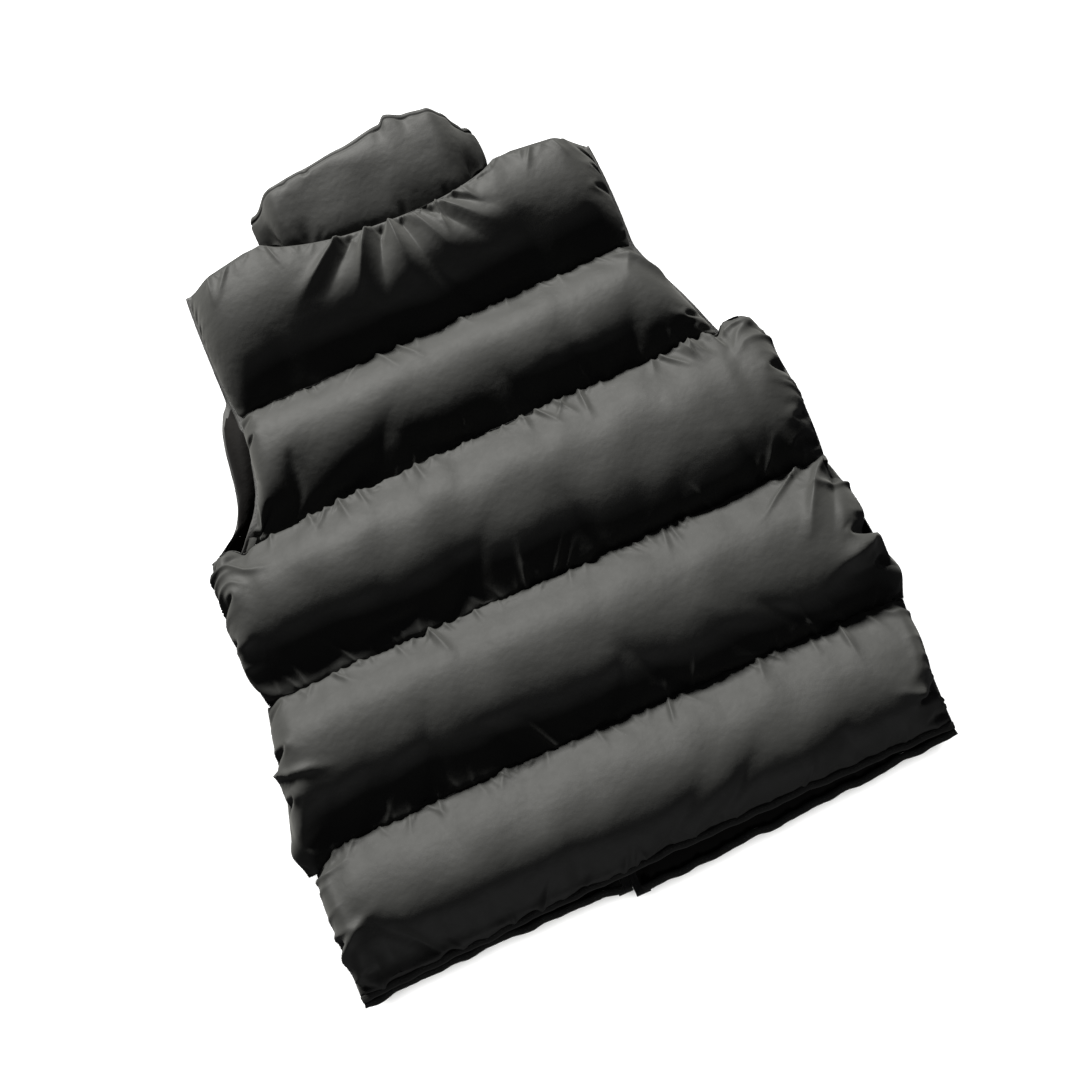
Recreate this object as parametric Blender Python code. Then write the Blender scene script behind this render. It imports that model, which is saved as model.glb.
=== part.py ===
"""Padded vest lying on its front, with its back up and its stand collar folded flat.

Metres, +X to the wearer's right, +Y to the collar, +Z up, and the vest lies on z = 0.
The origin is the middle of the vest's box, at its base.  Each panel is a row of padded
channels.  A channel is one closed solid: an outer skin and a lining skin, which meet in a
thin sewn edge all round.  The linings of the fronts and the back lie on each other at
LAYER_Z, and the outer skins of the fronts are pressed flat where they rest.
"""

import math
from collections import namedtuple

import bmesh
import bpy
from mathutils import Vector

# Heights and thicknesses
LAYER_Z = 0.0380          # height where the linings of front and back lie on each other
GAP = 0.0003              # between two pieces that are sewn together
NECK_GAP = 0.0008         # between the collar and the curved neck edges
EDGE = 0.0025             # thickness of a sewn edge
BACK_SEAM_Z = 0.0460      # height of the seams between the back's channels
FRONT_SEAM_Z = 0.0220     # height of the seams between the fronts' channels, and of the zip
SEAM_RISE = 0.050         # over this width a seam leaves the height of the side seam
BACK_BORDER_Z = LAYER_Z + GAP / 2 + EDGE / 2
FRONT_BORDER_Z = LAYER_Z - GAP / 2 - EDGE / 2
FOLD_RADIUS = GAP / 2 + EDGE / 2  # turn of a piece that folds from the front to the back

# Roundness of a filled channel
ARC = math.radians(58.0)  # half of the angle that a filled channel's section turns through
SIDE_ROUND = 0.045        # width of the rounded end at a side seam
SIDE_BULGE = 0.045        # how strongly that end swells past its seam
ZIP_ROUND = 0.030         # width of the rounded end at the zip
BACK_LINING_DEPTH = 0.009
FRONT_LINING_DEPTH = 0.018
END_STEPS = 3
SECTION_STEPS = 8

# Width that the seam curves are stated at, to each side of the middle
REFERENCE_HALF = 0.250

# Neck and shoulders, as (x, y) in the plan
NECK_LEFT = Vector((-0.106, 0.288))
NECK_RIGHT = Vector((0.107, 0.273))
SHOULDER_LEFT = Vector((-0.189, 0.273))
SHOULDER_RIGHT = Vector((0.193, 0.262))
NECK_DIP = 0.018          # depth of the back neck's curve
FRONT_NECK_Y = 0.213      # lowest point of the front neck, at the zip
FRONT_NECK_POWER = 1.6

# Front opening
ZIP_X = -0.034
FRONT_EDGE = 0.0070       # from the zip's middle to each front's edge
TAPE_MARGIN = 0.0075      # flat margin of each front that the tape is sewn to

# The back's seams: y at the left, middle and right, and the x where each one's ends lie
BackSeam = namedtuple("BackSeam", "y_left y_middle y_right x_left x_right")
BACK_SEAMS = {
    "seam_1": BackSeam(0.153, 0.153, 0.153, -0.183, 0.189),
    "seam_2": BackSeam(0.038, 0.048, 0.046, -0.223, 0.219),
    "seam_3": BackSeam(-0.089, -0.089, -0.089, -0.248, 0.252),
    "seam_4": BackSeam(-0.220, -0.218, -0.220, -0.249, 0.2585),
    "hem": BackSeam(-0.338, -0.330, -0.330, -0.2585, 0.250),
}

# The fronts' seams: y at the side seam and at the zip for each front, how far the seam sags
# between them, and the x of its ends
FrontSeam = namedtuple(
    "FrontSeam", "y_left y_zip_left y_zip_right y_right sag_left sag_right x_left x_right"
)
FRONT_SEAMS = {
    "seam_1": FrontSeam(0.178, 0.150, 0.150, 0.165, 0.000, 0.000, -0.205, 0.175),
    "seam_2": FrontSeam(0.0395, 0.048, 0.048, 0.0462, 0.000, 0.000, -0.223, 0.219),
    "seam_3": FrontSeam(-0.089, -0.092, -0.092, -0.089, 0.000, 0.000, -0.248, 0.252),
    "seam_4": FrontSeam(-0.220, -0.222, -0.224, -0.220, 0.000, 0.000, -0.249, 0.2585),
    "hem": FrontSeam(-0.338, -0.336, -0.344, -0.330, 0.000, 0.012, -0.2585, 0.250),
}

# Channels of the back, from the collar to the hem.  power bends a side edge: over 1, it
# leaves the upper seam straight down and swings out to the lower one.
BackRow = namedtuple(
    "BackRow", "upper lower left_top left_foot right_top right_foot left_power right_power crown"
)
BACK_ROWS = (
    BackRow("top", "seam_1", -0.189, -0.183, 0.193, 0.189, 1.0, 1.0, 0.031),
    BackRow("seam_1", "seam_2", -0.183, -0.223, 0.189, 0.219, 4.0, 1.2, 0.031),
    BackRow("seam_2", "seam_3", -0.250, -0.248, 0.249, 0.252, 1.0, 1.0, 0.036),
    BackRow("seam_3", "seam_4", -0.248, -0.249, 0.252, 0.2585, 1.0, 1.0, 0.037),
    BackRow("seam_4", "hem", -0.249, -0.2585, 0.2585, 0.250, 1.0, 1.0, 0.034),
)

# Channels of the fronts: the x of the armhole or side edge at the upper and lower seam
FrontRow = namedtuple("FrontRow", "upper lower left_top left_foot right_top right_foot crown")
FRONT_ROWS = (
    FrontRow("top", "seam_1", -0.189, -0.205, 0.193, 0.175, 0.026),
    FrontRow("seam_1", "seam_2", -0.205, -0.223, 0.175, 0.219, 0.026),
    FrontRow("seam_2", "seam_3", -0.250, -0.248, 0.249, 0.252, 0.026),
    FrontRow("seam_3", "seam_4", -0.248, -0.249, 0.252, 0.2585, 0.026),
    FrontRow("seam_4", "hem", -0.249, -0.2585, 0.2585, 0.250, 0.026),
)

# Collar: height of its top edge over its length, and how far each part swells
CollarTop = namedtuple("CollarTop", "x y")
COLLAR_BACK_TOP = (
    CollarTop(-0.107, 0.318),
    CollarTop(-0.085, 0.331),
    CollarTop(-0.030, 0.342),
    CollarTop(0.035, 0.350),
    CollarTop(0.078, 0.340),
    CollarTop(0.108, 0.308),
)
COLLAR_ZIP_TOP_Y = 0.288
COLLAR_ZIP_ROUND = 0.022
COLLAR_BACK_CROWN = 0.022
COLLAR_FOLD_CROWN = 0.013
COLLAR_FRONT_CROWN = 0.026
COLLAR_FOLD_REACH = 0.035  # over this width the collar's filling thins to its folds

# Armhole bindings
BINDING_WIDTH = 0.0035
BINDING_THICKNESS = 0.0025

# Zip
TAPE_INNER = 0.0016       # from the zip's middle to a tape's inner edge
TAPE_OUTER = 0.0140
TAPE_THICKNESS = 0.0010
ZIP_FOOT_Y = -0.334
ZIP_HEAD_Y = 0.286
CHAIN_WIDTH = 0.0060
CHAIN_THICKNESS = 0.0021
SLIDER_Y = 0.276
SLIDER_WIDTH = 0.0090
SLIDER_LENGTH = 0.0120
PLATE_THICKNESS = 0.0013
NECK_WIDTH = 0.0025
NECK_LENGTH = 0.0030
BRIDGE_WIDTH = 0.0020
BRIDGE_REACH = 0.0042     # from the slider's middle to each end of its bridge
BRIDGE_BAR = 0.0012
BRIDGE_CLEAR = 0.0032     # free height under the bridge
PULL_WIDTH = 0.0070
PULL_THICKNESS = 0.0014
PULL_LENGTH = 0.0240      # from the hinge's axis to the free end
PULL_HEAD = 0.0009        # from the hinge's axis to the end past it
PULL_SLOT_WIDTH = 0.0030
PULL_SLOT_END = 0.0055
PULL_ANGLE = math.radians(48.0)  # from straight down, towards the hem, so that its tip just clears

FABRIC = ((0.022, 0.023, 0.024), 0.42, 0.0)
BINDING_FABRIC = ((0.045, 0.046, 0.045), 0.55, 0.0)
TAPE_FABRIC = ((0.015, 0.015, 0.016), 0.80, 0.0)
CHAIN_METAL = ((0.10, 0.10, 0.11), 0.35, 1.0)
SLIDER_METAL = ((0.16, 0.16, 0.17), 0.30, 1.0)

Column = namedtuple("Column", "share shift bulge rise")


def smooth(t):
    """Soft step from 0 to 1."""
    t = min(max(t, 0.0), 1.0)
    return t * t * (3.0 - 2.0 * t)


def mix(a, b, t):
    return a + (b - a) * t


def read_table(rows, x):
    """Value of a short table of (x, y) rows at x, eased from row to row."""
    if x <= rows[0].x:
        return rows[0].y
    for low, high in zip(rows, rows[1:]):
        if x <= high.x:
            return mix(low.y, high.y, smooth((x - low.x) / (high.x - low.x)))
    return rows[-1].y


# Seam curves.  Each gives (y, z) at an x.


def shoulder_line(x):
    """Straight line from each shoulder tip to the neck, and on from one neck point to the other."""
    if x < NECK_LEFT.x:
        ends = SHOULDER_LEFT, NECK_LEFT
    elif x > NECK_RIGHT.x:
        ends = NECK_RIGHT, SHOULDER_RIGHT
    else:
        ends = NECK_LEFT, NECK_RIGHT
    return mix(ends[0].y, ends[1].y, (x - ends[0].x) / (ends[1].x - ends[0].x))


def back_height(x, x_left, x_right):
    """Height of a seam of the back, which climbs from the side seam's height."""
    inward = min(x - x_left, x_right - x)
    return mix(BACK_BORDER_Z, BACK_SEAM_Z, smooth(inward / SEAM_RISE))


def back_top(x):
    half = (NECK_RIGHT.x - NECK_LEFT.x) / 2
    off_centre = (x - (NECK_RIGHT.x + NECK_LEFT.x) / 2) / half
    dip = NECK_DIP * max(0.0, 1.0 - abs(off_centre) ** 2.5)
    return shoulder_line(x) - dip, back_height(x, NECK_LEFT.x, NECK_RIGHT.x)


def back_curve(name):
    if name == "top":
        return back_top
    seam = BACK_SEAMS[name]

    def curve(x):
        at = x / REFERENCE_HALF
        slope = (seam.y_right - seam.y_left) / 2
        bend = (seam.y_right + seam.y_left) / 2 - seam.y_middle
        return seam.y_middle + slope * at + bend * at * at, back_height(x, seam.x_left, seam.x_right)

    return curve


def front_top(x):
    neck = NECK_LEFT if x < ZIP_X else NECK_RIGHT
    along = (x - ZIP_X) / (neck.x - ZIP_X)
    if along >= 1.0:
        return shoulder_line(x), FRONT_BORDER_Z
    y = mix(FRONT_NECK_Y, neck.y, along**FRONT_NECK_POWER)
    return y, mix(FRONT_BORDER_Z, FRONT_SEAM_Z, smooth(abs(neck.x - x) / SEAM_RISE))


def front_curve(name):
    if name == "top":
        return front_top
    seam = FRONT_SEAMS[name]

    def curve(x):
        left = x < ZIP_X
        side_x, side_y = (seam.x_left, seam.y_left) if left else (seam.x_right, seam.y_right)
        zip_y, sag = (seam.y_zip_left, seam.sag_left) if left else (seam.y_zip_right, seam.sag_right)
        along = (x - ZIP_X) / (side_x - ZIP_X)
        y = mix(zip_y, side_y, along) - sag * 4.0 * along * (1.0 - along)
        inward = x - side_x if left else side_x - x
        return y, mix(FRONT_BORDER_Z, FRONT_SEAM_Z, smooth(inward / SEAM_RISE))

    return curve


# Channels


def round_end(share, reach, bulge, inward):
    """Columns of a rounded end, from its edge to where it has its full height."""
    columns = []
    for step in range(END_STEPS):
        turn = math.pi / 2 * step / END_STEPS
        swell = bulge * math.sin(turn) * (1.0 - step / END_STEPS)
        shift = inward * reach * (1.0 - math.cos(turn))
        columns.append(Column(share, shift, -inward * swell, math.sin(turn)))
    return columns


def zip_end(share, inward, reach=ZIP_ROUND):
    """Columns at the zip: a flat margin for the tape, then a rounded end."""
    columns = [Column(share, 0.0, 0.0, 0.0)]
    for column in round_end(share, reach, 0.0, inward):
        columns.append(column._replace(shift=column.shift + inward * TAPE_MARGIN))
    return columns


def channel_columns(left, right, left_reach, right_reach, middle_steps):
    """All columns of a channel, from its left edge to its right edge."""
    middle = []
    for step in range(middle_steps + 1):
        share = step / middle_steps
        middle.append(Column(share, mix(left_reach, -right_reach, share), 0.0, 1.0))
    return left + middle + right[::-1]


def section_steps(count):
    """Steps across a channel, from seam to seam: share of the way and share of the height."""
    steps = []
    for step in range(count + 1):
        turn = ARC * (2.0 * step / count - 1.0)
        along = (1.0 + math.sin(turn) / math.sin(ARC)) / 2.0
        arch = (math.cos(turn) - math.cos(ARC)) / (1.0 - math.cos(ARC))
        steps.append((along, max(arch, 0.0)))
    return steps


class Channel:
    """One filled channel between two seams.  facing is 1 on the back and -1 on a front."""

    def __init__(self, upper, lower, left, right, crown, facing):
        self.upper = upper
        self.lower = lower
        self.left = left
        self.right = right
        self.crown = crown
        self.facing = facing
        self.depth = BACK_LINING_DEPTH if facing > 0 else FRONT_LINING_DEPTH

    def edge_point(self, x, along):
        """Point on the surface that the seam edges span."""
        y_upper, z_upper = self.upper(x)
        y_lower, z_lower = self.lower(x)
        y = mix(y_upper - GAP / 2, y_lower + GAP / 2, along)
        return Vector((x, y, mix(z_upper, z_lower, along)))

    def point(self, column, step, outer):
        along, arch = step
        x = mix(self.left(along), self.right(along), column.share) + column.shift
        if outer:
            x += column.bulge * arch
        point = self.edge_point(x, along)
        if outer:
            point.z += self.facing * (EDGE / 2 + self.crown * column.rise * arch)
            point.z = max(point.z, 0.0)
        else:
            point.z -= self.facing * (EDGE / 2 + self.depth * column.rise * arch)
            over = self.facing * (point.z - LAYER_Z) - GAP / 2
            point.z -= self.facing * min(over, 0.0)
        return point

    def side_points(self, edge, steps):
        """Points along the left or the right edge, from the upper seam to the lower one."""
        return [self.edge_point(edge(along), along) for along, _ in steps]


def bent_edge(x_top, x_foot, power=1.0):
    return lambda along: mix(x_top, x_foot, along**power)


def back_channel(row):
    return Channel(
        back_curve(row.upper),
        back_curve(row.lower),
        bent_edge(row.left_top, row.left_foot, row.left_power),
        bent_edge(row.right_top, row.right_foot, row.right_power),
        row.crown,
        1,
    )


def front_channel(row, side):
    upper, lower = front_curve(row.upper), front_curve(row.lower)
    if side == "left":
        outside = bent_edge(row.left_top, row.left_foot)
        opening = bent_edge(ZIP_X - FRONT_EDGE, ZIP_X - FRONT_EDGE)
        return Channel(upper, lower, outside, opening, row.crown, -1)
    outside = bent_edge(row.right_top, row.right_foot)
    opening = bent_edge(ZIP_X + FRONT_EDGE, ZIP_X + FRONT_EDGE)
    return Channel(upper, lower, opening, outside, row.crown, -1)


# Collar


class CollarStation(namedtuple("CollarStation", "x z angle y_base y_top crown depth")):
    """One cross-section of the collar, with the direction that its outer skin faces."""

    def outward(self):
        return Vector((math.cos(self.angle), 0.0, math.sin(self.angle)))


def collar_fold_share(x):
    """Share of the filling at an x: none at the folds, all of it away from them."""
    return smooth(min(x - NECK_LEFT.x, NECK_RIGHT.x - x) / COLLAR_FOLD_REACH)


def collar_front_stations(neck, fold_y, inward):
    """Stations from the zip to a fold, along the front neck."""
    edge_x = ZIP_X - inward * FRONT_EDGE
    stations = []
    rounded = [(column.shift, column.rise) for column in zip_end(0.0, 1, COLLAR_ZIP_ROUND)]
    swelled = TAPE_MARGIN + COLLAR_ZIP_ROUND
    middle = [(mix(swelled, abs(neck.x - edge_x), step / 5), 1.0) for step in range(5)]
    for reach, rise in rounded + middle:
        x = edge_x - inward * reach
        y_base, z = front_top(x)
        fold = 1.0 - smooth(abs(x - neck.x) / COLLAR_FOLD_REACH)
        crown = mix(COLLAR_FRONT_CROWN, COLLAR_FOLD_CROWN, fold)
        y_top = mix(COLLAR_ZIP_TOP_Y, fold_y, smooth((x - edge_x) / (neck.x - edge_x)))
        depth = FRONT_LINING_DEPTH * (1.0 - fold)
        swell = crown * rise, depth * rise
        stations.append(CollarStation(x, z, -math.pi / 2, y_base + NECK_GAP, y_top, *swell))
    return stations


def collar_fold_stations(neck, y_top, outward_angle):
    """Stations round a fold, from the front to the back."""
    stations = []
    for turn in (-90, -45, 0, 45, 90):
        angle = math.radians(turn) if outward_angle == 0.0 else math.pi - math.radians(turn)
        x = neck.x + FOLD_RADIUS * math.cos(angle)
        z = LAYER_Z + FOLD_RADIUS * math.sin(angle)
        stations.append(CollarStation(x, z, angle, neck.y + NECK_GAP, y_top, COLLAR_FOLD_CROWN, 0.0))
    return stations


def collar_back_stations(count):
    stations = []
    for step in range(1, count):
        x = mix(NECK_LEFT.x, NECK_RIGHT.x, step / count)
        y_base, z = back_top(x)
        share = collar_fold_share(x)
        crown = mix(COLLAR_FOLD_CROWN, COLLAR_BACK_CROWN, share)
        y_top = read_table(COLLAR_BACK_TOP, x)
        depth = BACK_LINING_DEPTH * share
        stations.append(CollarStation(x, z, math.pi / 2, y_base + NECK_GAP, y_top, crown, depth))
    return stations


def collar_stations():
    """All round the neck, from the left front's edge to the right front's edge."""
    left_y, right_y = COLLAR_BACK_TOP[0].y, COLLAR_BACK_TOP[-1].y
    return (
        collar_front_stations(NECK_LEFT, left_y, 1)
        + collar_fold_stations(NECK_LEFT, left_y, math.pi)
        + collar_back_stations(12)
        + collar_fold_stations(NECK_RIGHT, right_y, 0.0)[::-1]
        + collar_front_stations(NECK_RIGHT, right_y, -1)[::-1]
    )


def collar_point(station, step, outer):
    along, arch = step
    middle = Vector((station.x, mix(station.y_base, station.y_top, along), station.z))
    if outer:
        point = middle + station.outward() * (EDGE / 2 + station.crown * arch)
        point.z = max(point.z, 0.0)
        return point
    point = middle - station.outward() * (EDGE / 2 + station.depth * arch)
    if station.depth > 0.0:
        facing = math.copysign(1.0, station.outward().z)
        over = facing * (point.z - LAYER_Z) - GAP / 2
        point.z -= facing * min(over, 0.0)
    return point


# Meshes


def add_object(name, mesh, finish):
    """Object from a bmesh, with a material of its own."""
    data = bpy.data.meshes.new(name)
    bmesh.ops.recalc_face_normals(mesh, faces=mesh.faces)
    mesh.to_mesh(data)
    mesh.free()
    piece = bpy.data.objects.new(name, data)
    bpy.context.collection.objects.link(piece)
    colour, roughness, metallic = finish
    material = bpy.data.materials.new(name)
    material.use_nodes = True
    shader = material.node_tree.nodes["Principled BSDF"]
    shader.inputs["Base Color"].default_value = (*colour, 1.0)
    shader.inputs["Roughness"].default_value = roughness
    shader.inputs["Metallic"].default_value = metallic
    data.materials.append(material)
    return piece


def shade_soft(piece):
    piece.data.shade_smooth()
    piece.data.set_sharp_from_angle(angle=math.radians(60.0))


def padded_piece(name, stations, steps, point):
    """Closed solid of an outer and a lining skin, joined by a sewn edge all round."""
    mesh = bmesh.new()
    skins = []
    for outer in (True, False):
        grid = [[mesh.verts.new(point(station, step, outer)) for step in steps] for station in stations]
        for near, far in zip(grid, grid[1:]):
            for i in range(len(steps) - 1):
                mesh.faces.new((near[i], near[i + 1], far[i + 1], far[i]))
        border = [column[0] for column in grid] + grid[-1][1:]
        border += [column[-1] for column in grid[-2::-1]] + grid[0][-2:0:-1]
        skins.append(border)
    outer_ring, lining_ring = skins
    for i in range(len(outer_ring)):
        mesh.faces.new((outer_ring[i - 1], outer_ring[i], lining_ring[i], lining_ring[i - 1]))
    piece = add_object(name, mesh, FABRIC)
    shade_soft(piece)
    return piece


def strip(name, path, width, thickness, finish):
    """Flat strip along a path.  It lies level, and keeps its face out where the path folds back."""
    mesh = bmesh.new()
    up = Vector((0.0, 0.0, 1.0))
    across = up.cross(path[1] - path[0]).normalized()
    rings = []
    for i, point in enumerate(path):
        ahead = path[min(i + 1, len(path) - 1)]
        behind = path[max(i - 1, 0)]
        along = (ahead - behind).normalized()
        across = (across - along * across.dot(along)).normalized()
        if Vector((along.x, along.y)).length > 0.5:
            level = up.cross(along).normalized()
            across = level if level.dot(across) > 0.0 else -level
        normal = along.cross(across)
        side, face = across * width / 2, normal * thickness / 2
        corners = (point - side - face, point + side - face, point + side + face, point - side + face)
        rings.append([mesh.verts.new(corner) for corner in corners])
    for near, far in zip(rings, rings[1:]):
        for i in range(4):
            mesh.faces.new((near[i - 1], near[i], far[i], far[i - 1]))
    mesh.faces.new(rings[0])
    mesh.faces.new(rings[-1])
    piece = add_object(name, mesh, finish)
    shade_soft(piece)
    return piece


def block(name, low, high, finish=SLIDER_METAL):
    """Straight block between two corners, with its mesh where it stands."""
    mesh = bmesh.new()
    bmesh.ops.create_cube(mesh, size=1.0)
    size = Vector(high) - Vector(low)
    bmesh.ops.scale(mesh, vec=size, verts=mesh.verts)
    bmesh.ops.translate(mesh, vec=(Vector(high) + Vector(low)) / 2, verts=mesh.verts)
    return add_object(name, mesh, finish)


def boolean(piece, tool, operation):
    """Joins a hidden block to a piece, or cuts it away."""
    tool.hide_render = True
    tool.display_type = "WIRE"
    modifier = piece.modifiers.new(tool.name, "BOOLEAN")
    modifier.operation = operation
    modifier.solver = "EXACT"
    modifier.object = tool


# The vest


def build_back():
    steps = section_steps(SECTION_STEPS)
    columns = channel_columns(
        round_end(0.0, SIDE_ROUND, SIDE_BULGE, 1),
        round_end(1.0, SIDE_ROUND, SIDE_BULGE, -1),
        SIDE_ROUND,
        SIDE_ROUND,
        8,
    )
    for number, row in enumerate(BACK_ROWS, start=1):
        padded_piece(f"back_baffle_{number}", columns, steps, back_channel(row).point)


def build_front(side):
    steps = section_steps(SECTION_STEPS)
    zip_reach = TAPE_MARGIN + ZIP_ROUND
    if side == "left":
        outside = round_end(0.0, SIDE_ROUND, SIDE_BULGE, 1)
        columns = channel_columns(outside, zip_end(1.0, -1), SIDE_ROUND, zip_reach, 4)
    else:
        outside = round_end(1.0, SIDE_ROUND, SIDE_BULGE, -1)
        columns = channel_columns(zip_end(0.0, 1), outside, zip_reach, SIDE_ROUND, 4)
    for number, row in enumerate(FRONT_ROWS, start=1):
        padded_piece(f"front_{side}_baffle_{number}", columns, steps, front_channel(row, side).point)


def armhole_run(channels, side):
    """Edge of one armhole from the shoulder tip to the underarm, on the back or on a front."""
    steps = section_steps(SECTION_STEPS)
    run = []
    for channel in channels[:2]:
        run += channel.side_points(channel.left if side == "left" else channel.right, steps)[:-1]
    under = channels[2]
    corner = channels[1].left(1.0) if side == "left" else channels[1].right(1.0)
    tip = under.left(0.0) if side == "left" else under.right(0.0)
    run += [under.edge_point(mix(corner, tip, step / 3), 0.0) for step in range(4)]
    return run


def moved_out(run, side):
    """The same run, moved out in the plan to where a binding's middle lies, with mitred bends."""
    outward = -1.0 if side == "left" else 1.0
    normals = []
    for near, far in zip(run, run[1:]):
        along = far - near
        normals.append(Vector((-along.y, along.x, 0.0)).normalized() * outward)
    moved = []
    for i, point in enumerate(run):
        before, after = normals[max(i - 1, 0)], normals[min(i, len(normals) - 1)]
        mitre = (before + after).normalized()
        moved.append(point + mitre * (GAP + BINDING_WIDTH / 2) / mitre.dot(before))
    return moved


def build_binding(side):
    """Binding from the back's shoulder tip, under the arm and up the front's armhole edge."""
    back = [back_channel(row) for row in BACK_ROWS]
    front = [front_channel(row, side) for row in FRONT_ROWS]
    down = moved_out(armhole_run(back, side), side)
    up = moved_out(armhole_run(front, side), side)[::-1]
    outward = -1.0 if side == "left" else 1.0
    turn = []
    for angle in (math.pi / 4, 0.0, -math.pi / 4):
        around = Vector((outward * FOLD_RADIUS * math.cos(angle), 0.0, FOLD_RADIUS * math.sin(angle)))
        turn.append(Vector((down[-1].x, down[-1].y, LAYER_Z)) + around)
    strip(f"armhole_binding_{side}", down + turn + up, BINDING_WIDTH, BINDING_THICKNESS, BINDING_FABRIC)


def build_collar():
    padded_piece("collar", collar_stations(), section_steps(6), collar_point)


def build_zip():
    tape_z = FRONT_SEAM_Z + EDGE / 2 + GAP
    for side, outward in (("left", -1), ("right", 1)):
        near, far = ZIP_X + outward * TAPE_INNER, ZIP_X + outward * TAPE_OUTER
        low = (min(near, far), ZIP_FOOT_Y, tape_z)
        high = (max(near, far), ZIP_HEAD_Y, tape_z + TAPE_THICKNESS)
        block(f"zip_tape_{side}", low, high, TAPE_FABRIC)
    chain_top = tape_z - GAP
    chain_foot = chain_top - CHAIN_THICKNESS
    neck_y = SLIDER_Y + SLIDER_LENGTH / 2 - NECK_LENGTH
    low = (ZIP_X - CHAIN_WIDTH / 2, ZIP_FOOT_Y, chain_foot)
    high = (ZIP_X + CHAIN_WIDTH / 2, neck_y - GAP, chain_top)
    block("zip_chain", low, high, CHAIN_METAL)

    outer_plate_z = chain_foot - GAP - PLATE_THICKNESS
    inner_plate_z = tape_z + TAPE_THICKNESS + GAP
    y_low, y_high = SLIDER_Y - SLIDER_LENGTH / 2, SLIDER_Y + SLIDER_LENGTH / 2
    x_low, x_high = ZIP_X - SLIDER_WIDTH / 2, ZIP_X + SLIDER_WIDTH / 2
    slider, inner = (
        block(name, (x_low, y_low, foot), (x_high, y_high, foot + PLATE_THICKNESS))
        for name, foot in (("zip_slider", outer_plate_z), ("slider_inner_plate", inner_plate_z))
    )
    neck = block(
        "slider_neck",
        (ZIP_X - NECK_WIDTH / 2, neck_y, outer_plate_z + PLATE_THICKNESS / 2),
        (ZIP_X + NECK_WIDTH / 2, y_high - GAP, inner_plate_z + PLATE_THICKNESS / 2),
    )
    bridge_foot = outer_plate_z - BRIDGE_CLEAR - BRIDGE_BAR
    bridge_x = ZIP_X - BRIDGE_WIDTH / 2, ZIP_X + BRIDGE_WIDTH / 2
    bridge = block(
        "slider_bridge",
        (bridge_x[0], SLIDER_Y - BRIDGE_REACH, bridge_foot),
        (bridge_x[1], SLIDER_Y + BRIDGE_REACH, outer_plate_z + PLATE_THICKNESS / 2),
    )
    bridge_hole = block(
        "slider_bridge_hole",
        (bridge_x[0] - GAP, SLIDER_Y - BRIDGE_REACH + BRIDGE_BAR, bridge_foot + BRIDGE_BAR),
        (bridge_x[1] + GAP, SLIDER_Y + BRIDGE_REACH - BRIDGE_BAR, outer_plate_z),
    )
    boolean(bridge, bridge_hole, "DIFFERENCE")
    for tool in (neck, inner, bridge):
        boolean(slider, tool, "UNION")

    pivot = bpy.data.objects.new("zip_pull_pivot", None)
    bpy.context.collection.objects.link(pivot)
    pivot.location = (ZIP_X, SLIDER_Y, outer_plate_z - BRIDGE_CLEAR / 2)
    pivot.rotation_euler.x = -PULL_ANGLE
    half = PULL_WIDTH / 2
    face = PULL_THICKNESS / 2
    pull = block("zip_pull", (-half, -face, -PULL_LENGTH), (half, face, PULL_HEAD))
    slot = block(
        "zip_pull_slot",
        (-PULL_SLOT_WIDTH / 2, -PULL_THICKNESS, -PULL_SLOT_END),
        (PULL_SLOT_WIDTH / 2, PULL_THICKNESS, -PULL_HEAD),
    )
    for piece in (pull, slot):
        piece.parent = pivot
    boolean(pull, slot, "DIFFERENCE")


def main():
    for old in list(bpy.data.objects):
        bpy.data.objects.remove(old, do_unlink=True)
    build_back()
    build_front("left")
    build_front("right")
    build_collar()
    build_binding("left")
    build_binding("right")
    build_zip()


main()
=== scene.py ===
"""Looks of a padded vest that lies on its front on a pale floor, with its back up.

Every channel of down is a closed pillow.  Its shell is cloth that was cut larger than the seams
that hold it; a small cloth solver pins it to those seams, fills it and lets it pucker.  Its
lining closes it from behind.  Metres, +X to the wearer's right, +Y to the collar, +Z up.
"""

from __future__ import annotations

import logging
import math
import sys
from dataclasses import dataclass, replace
from enum import Enum
from functools import cached_property
from typing import Sequence

import bpy
import numpy as np
from mathutils import Matrix

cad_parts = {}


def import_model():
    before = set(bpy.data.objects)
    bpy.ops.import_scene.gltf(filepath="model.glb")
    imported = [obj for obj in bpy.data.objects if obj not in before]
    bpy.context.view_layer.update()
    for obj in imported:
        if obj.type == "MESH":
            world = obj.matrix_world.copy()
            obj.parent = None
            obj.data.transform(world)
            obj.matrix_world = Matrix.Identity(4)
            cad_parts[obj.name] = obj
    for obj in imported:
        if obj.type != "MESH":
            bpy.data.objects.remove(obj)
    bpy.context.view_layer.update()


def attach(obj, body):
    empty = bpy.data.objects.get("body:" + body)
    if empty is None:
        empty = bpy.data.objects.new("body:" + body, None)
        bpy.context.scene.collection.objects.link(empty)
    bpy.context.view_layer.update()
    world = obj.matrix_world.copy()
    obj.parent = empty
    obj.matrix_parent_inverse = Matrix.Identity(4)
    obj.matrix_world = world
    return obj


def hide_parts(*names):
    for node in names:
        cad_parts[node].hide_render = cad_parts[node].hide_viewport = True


log = logging.getLogger("vest")

Array = np.ndarray
Settings = dict[str, object]
Inputs = dict[int | str, object]

REST_Z = 0.0004           # lowest point of the cloth, just over the surface that it lies on

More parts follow.
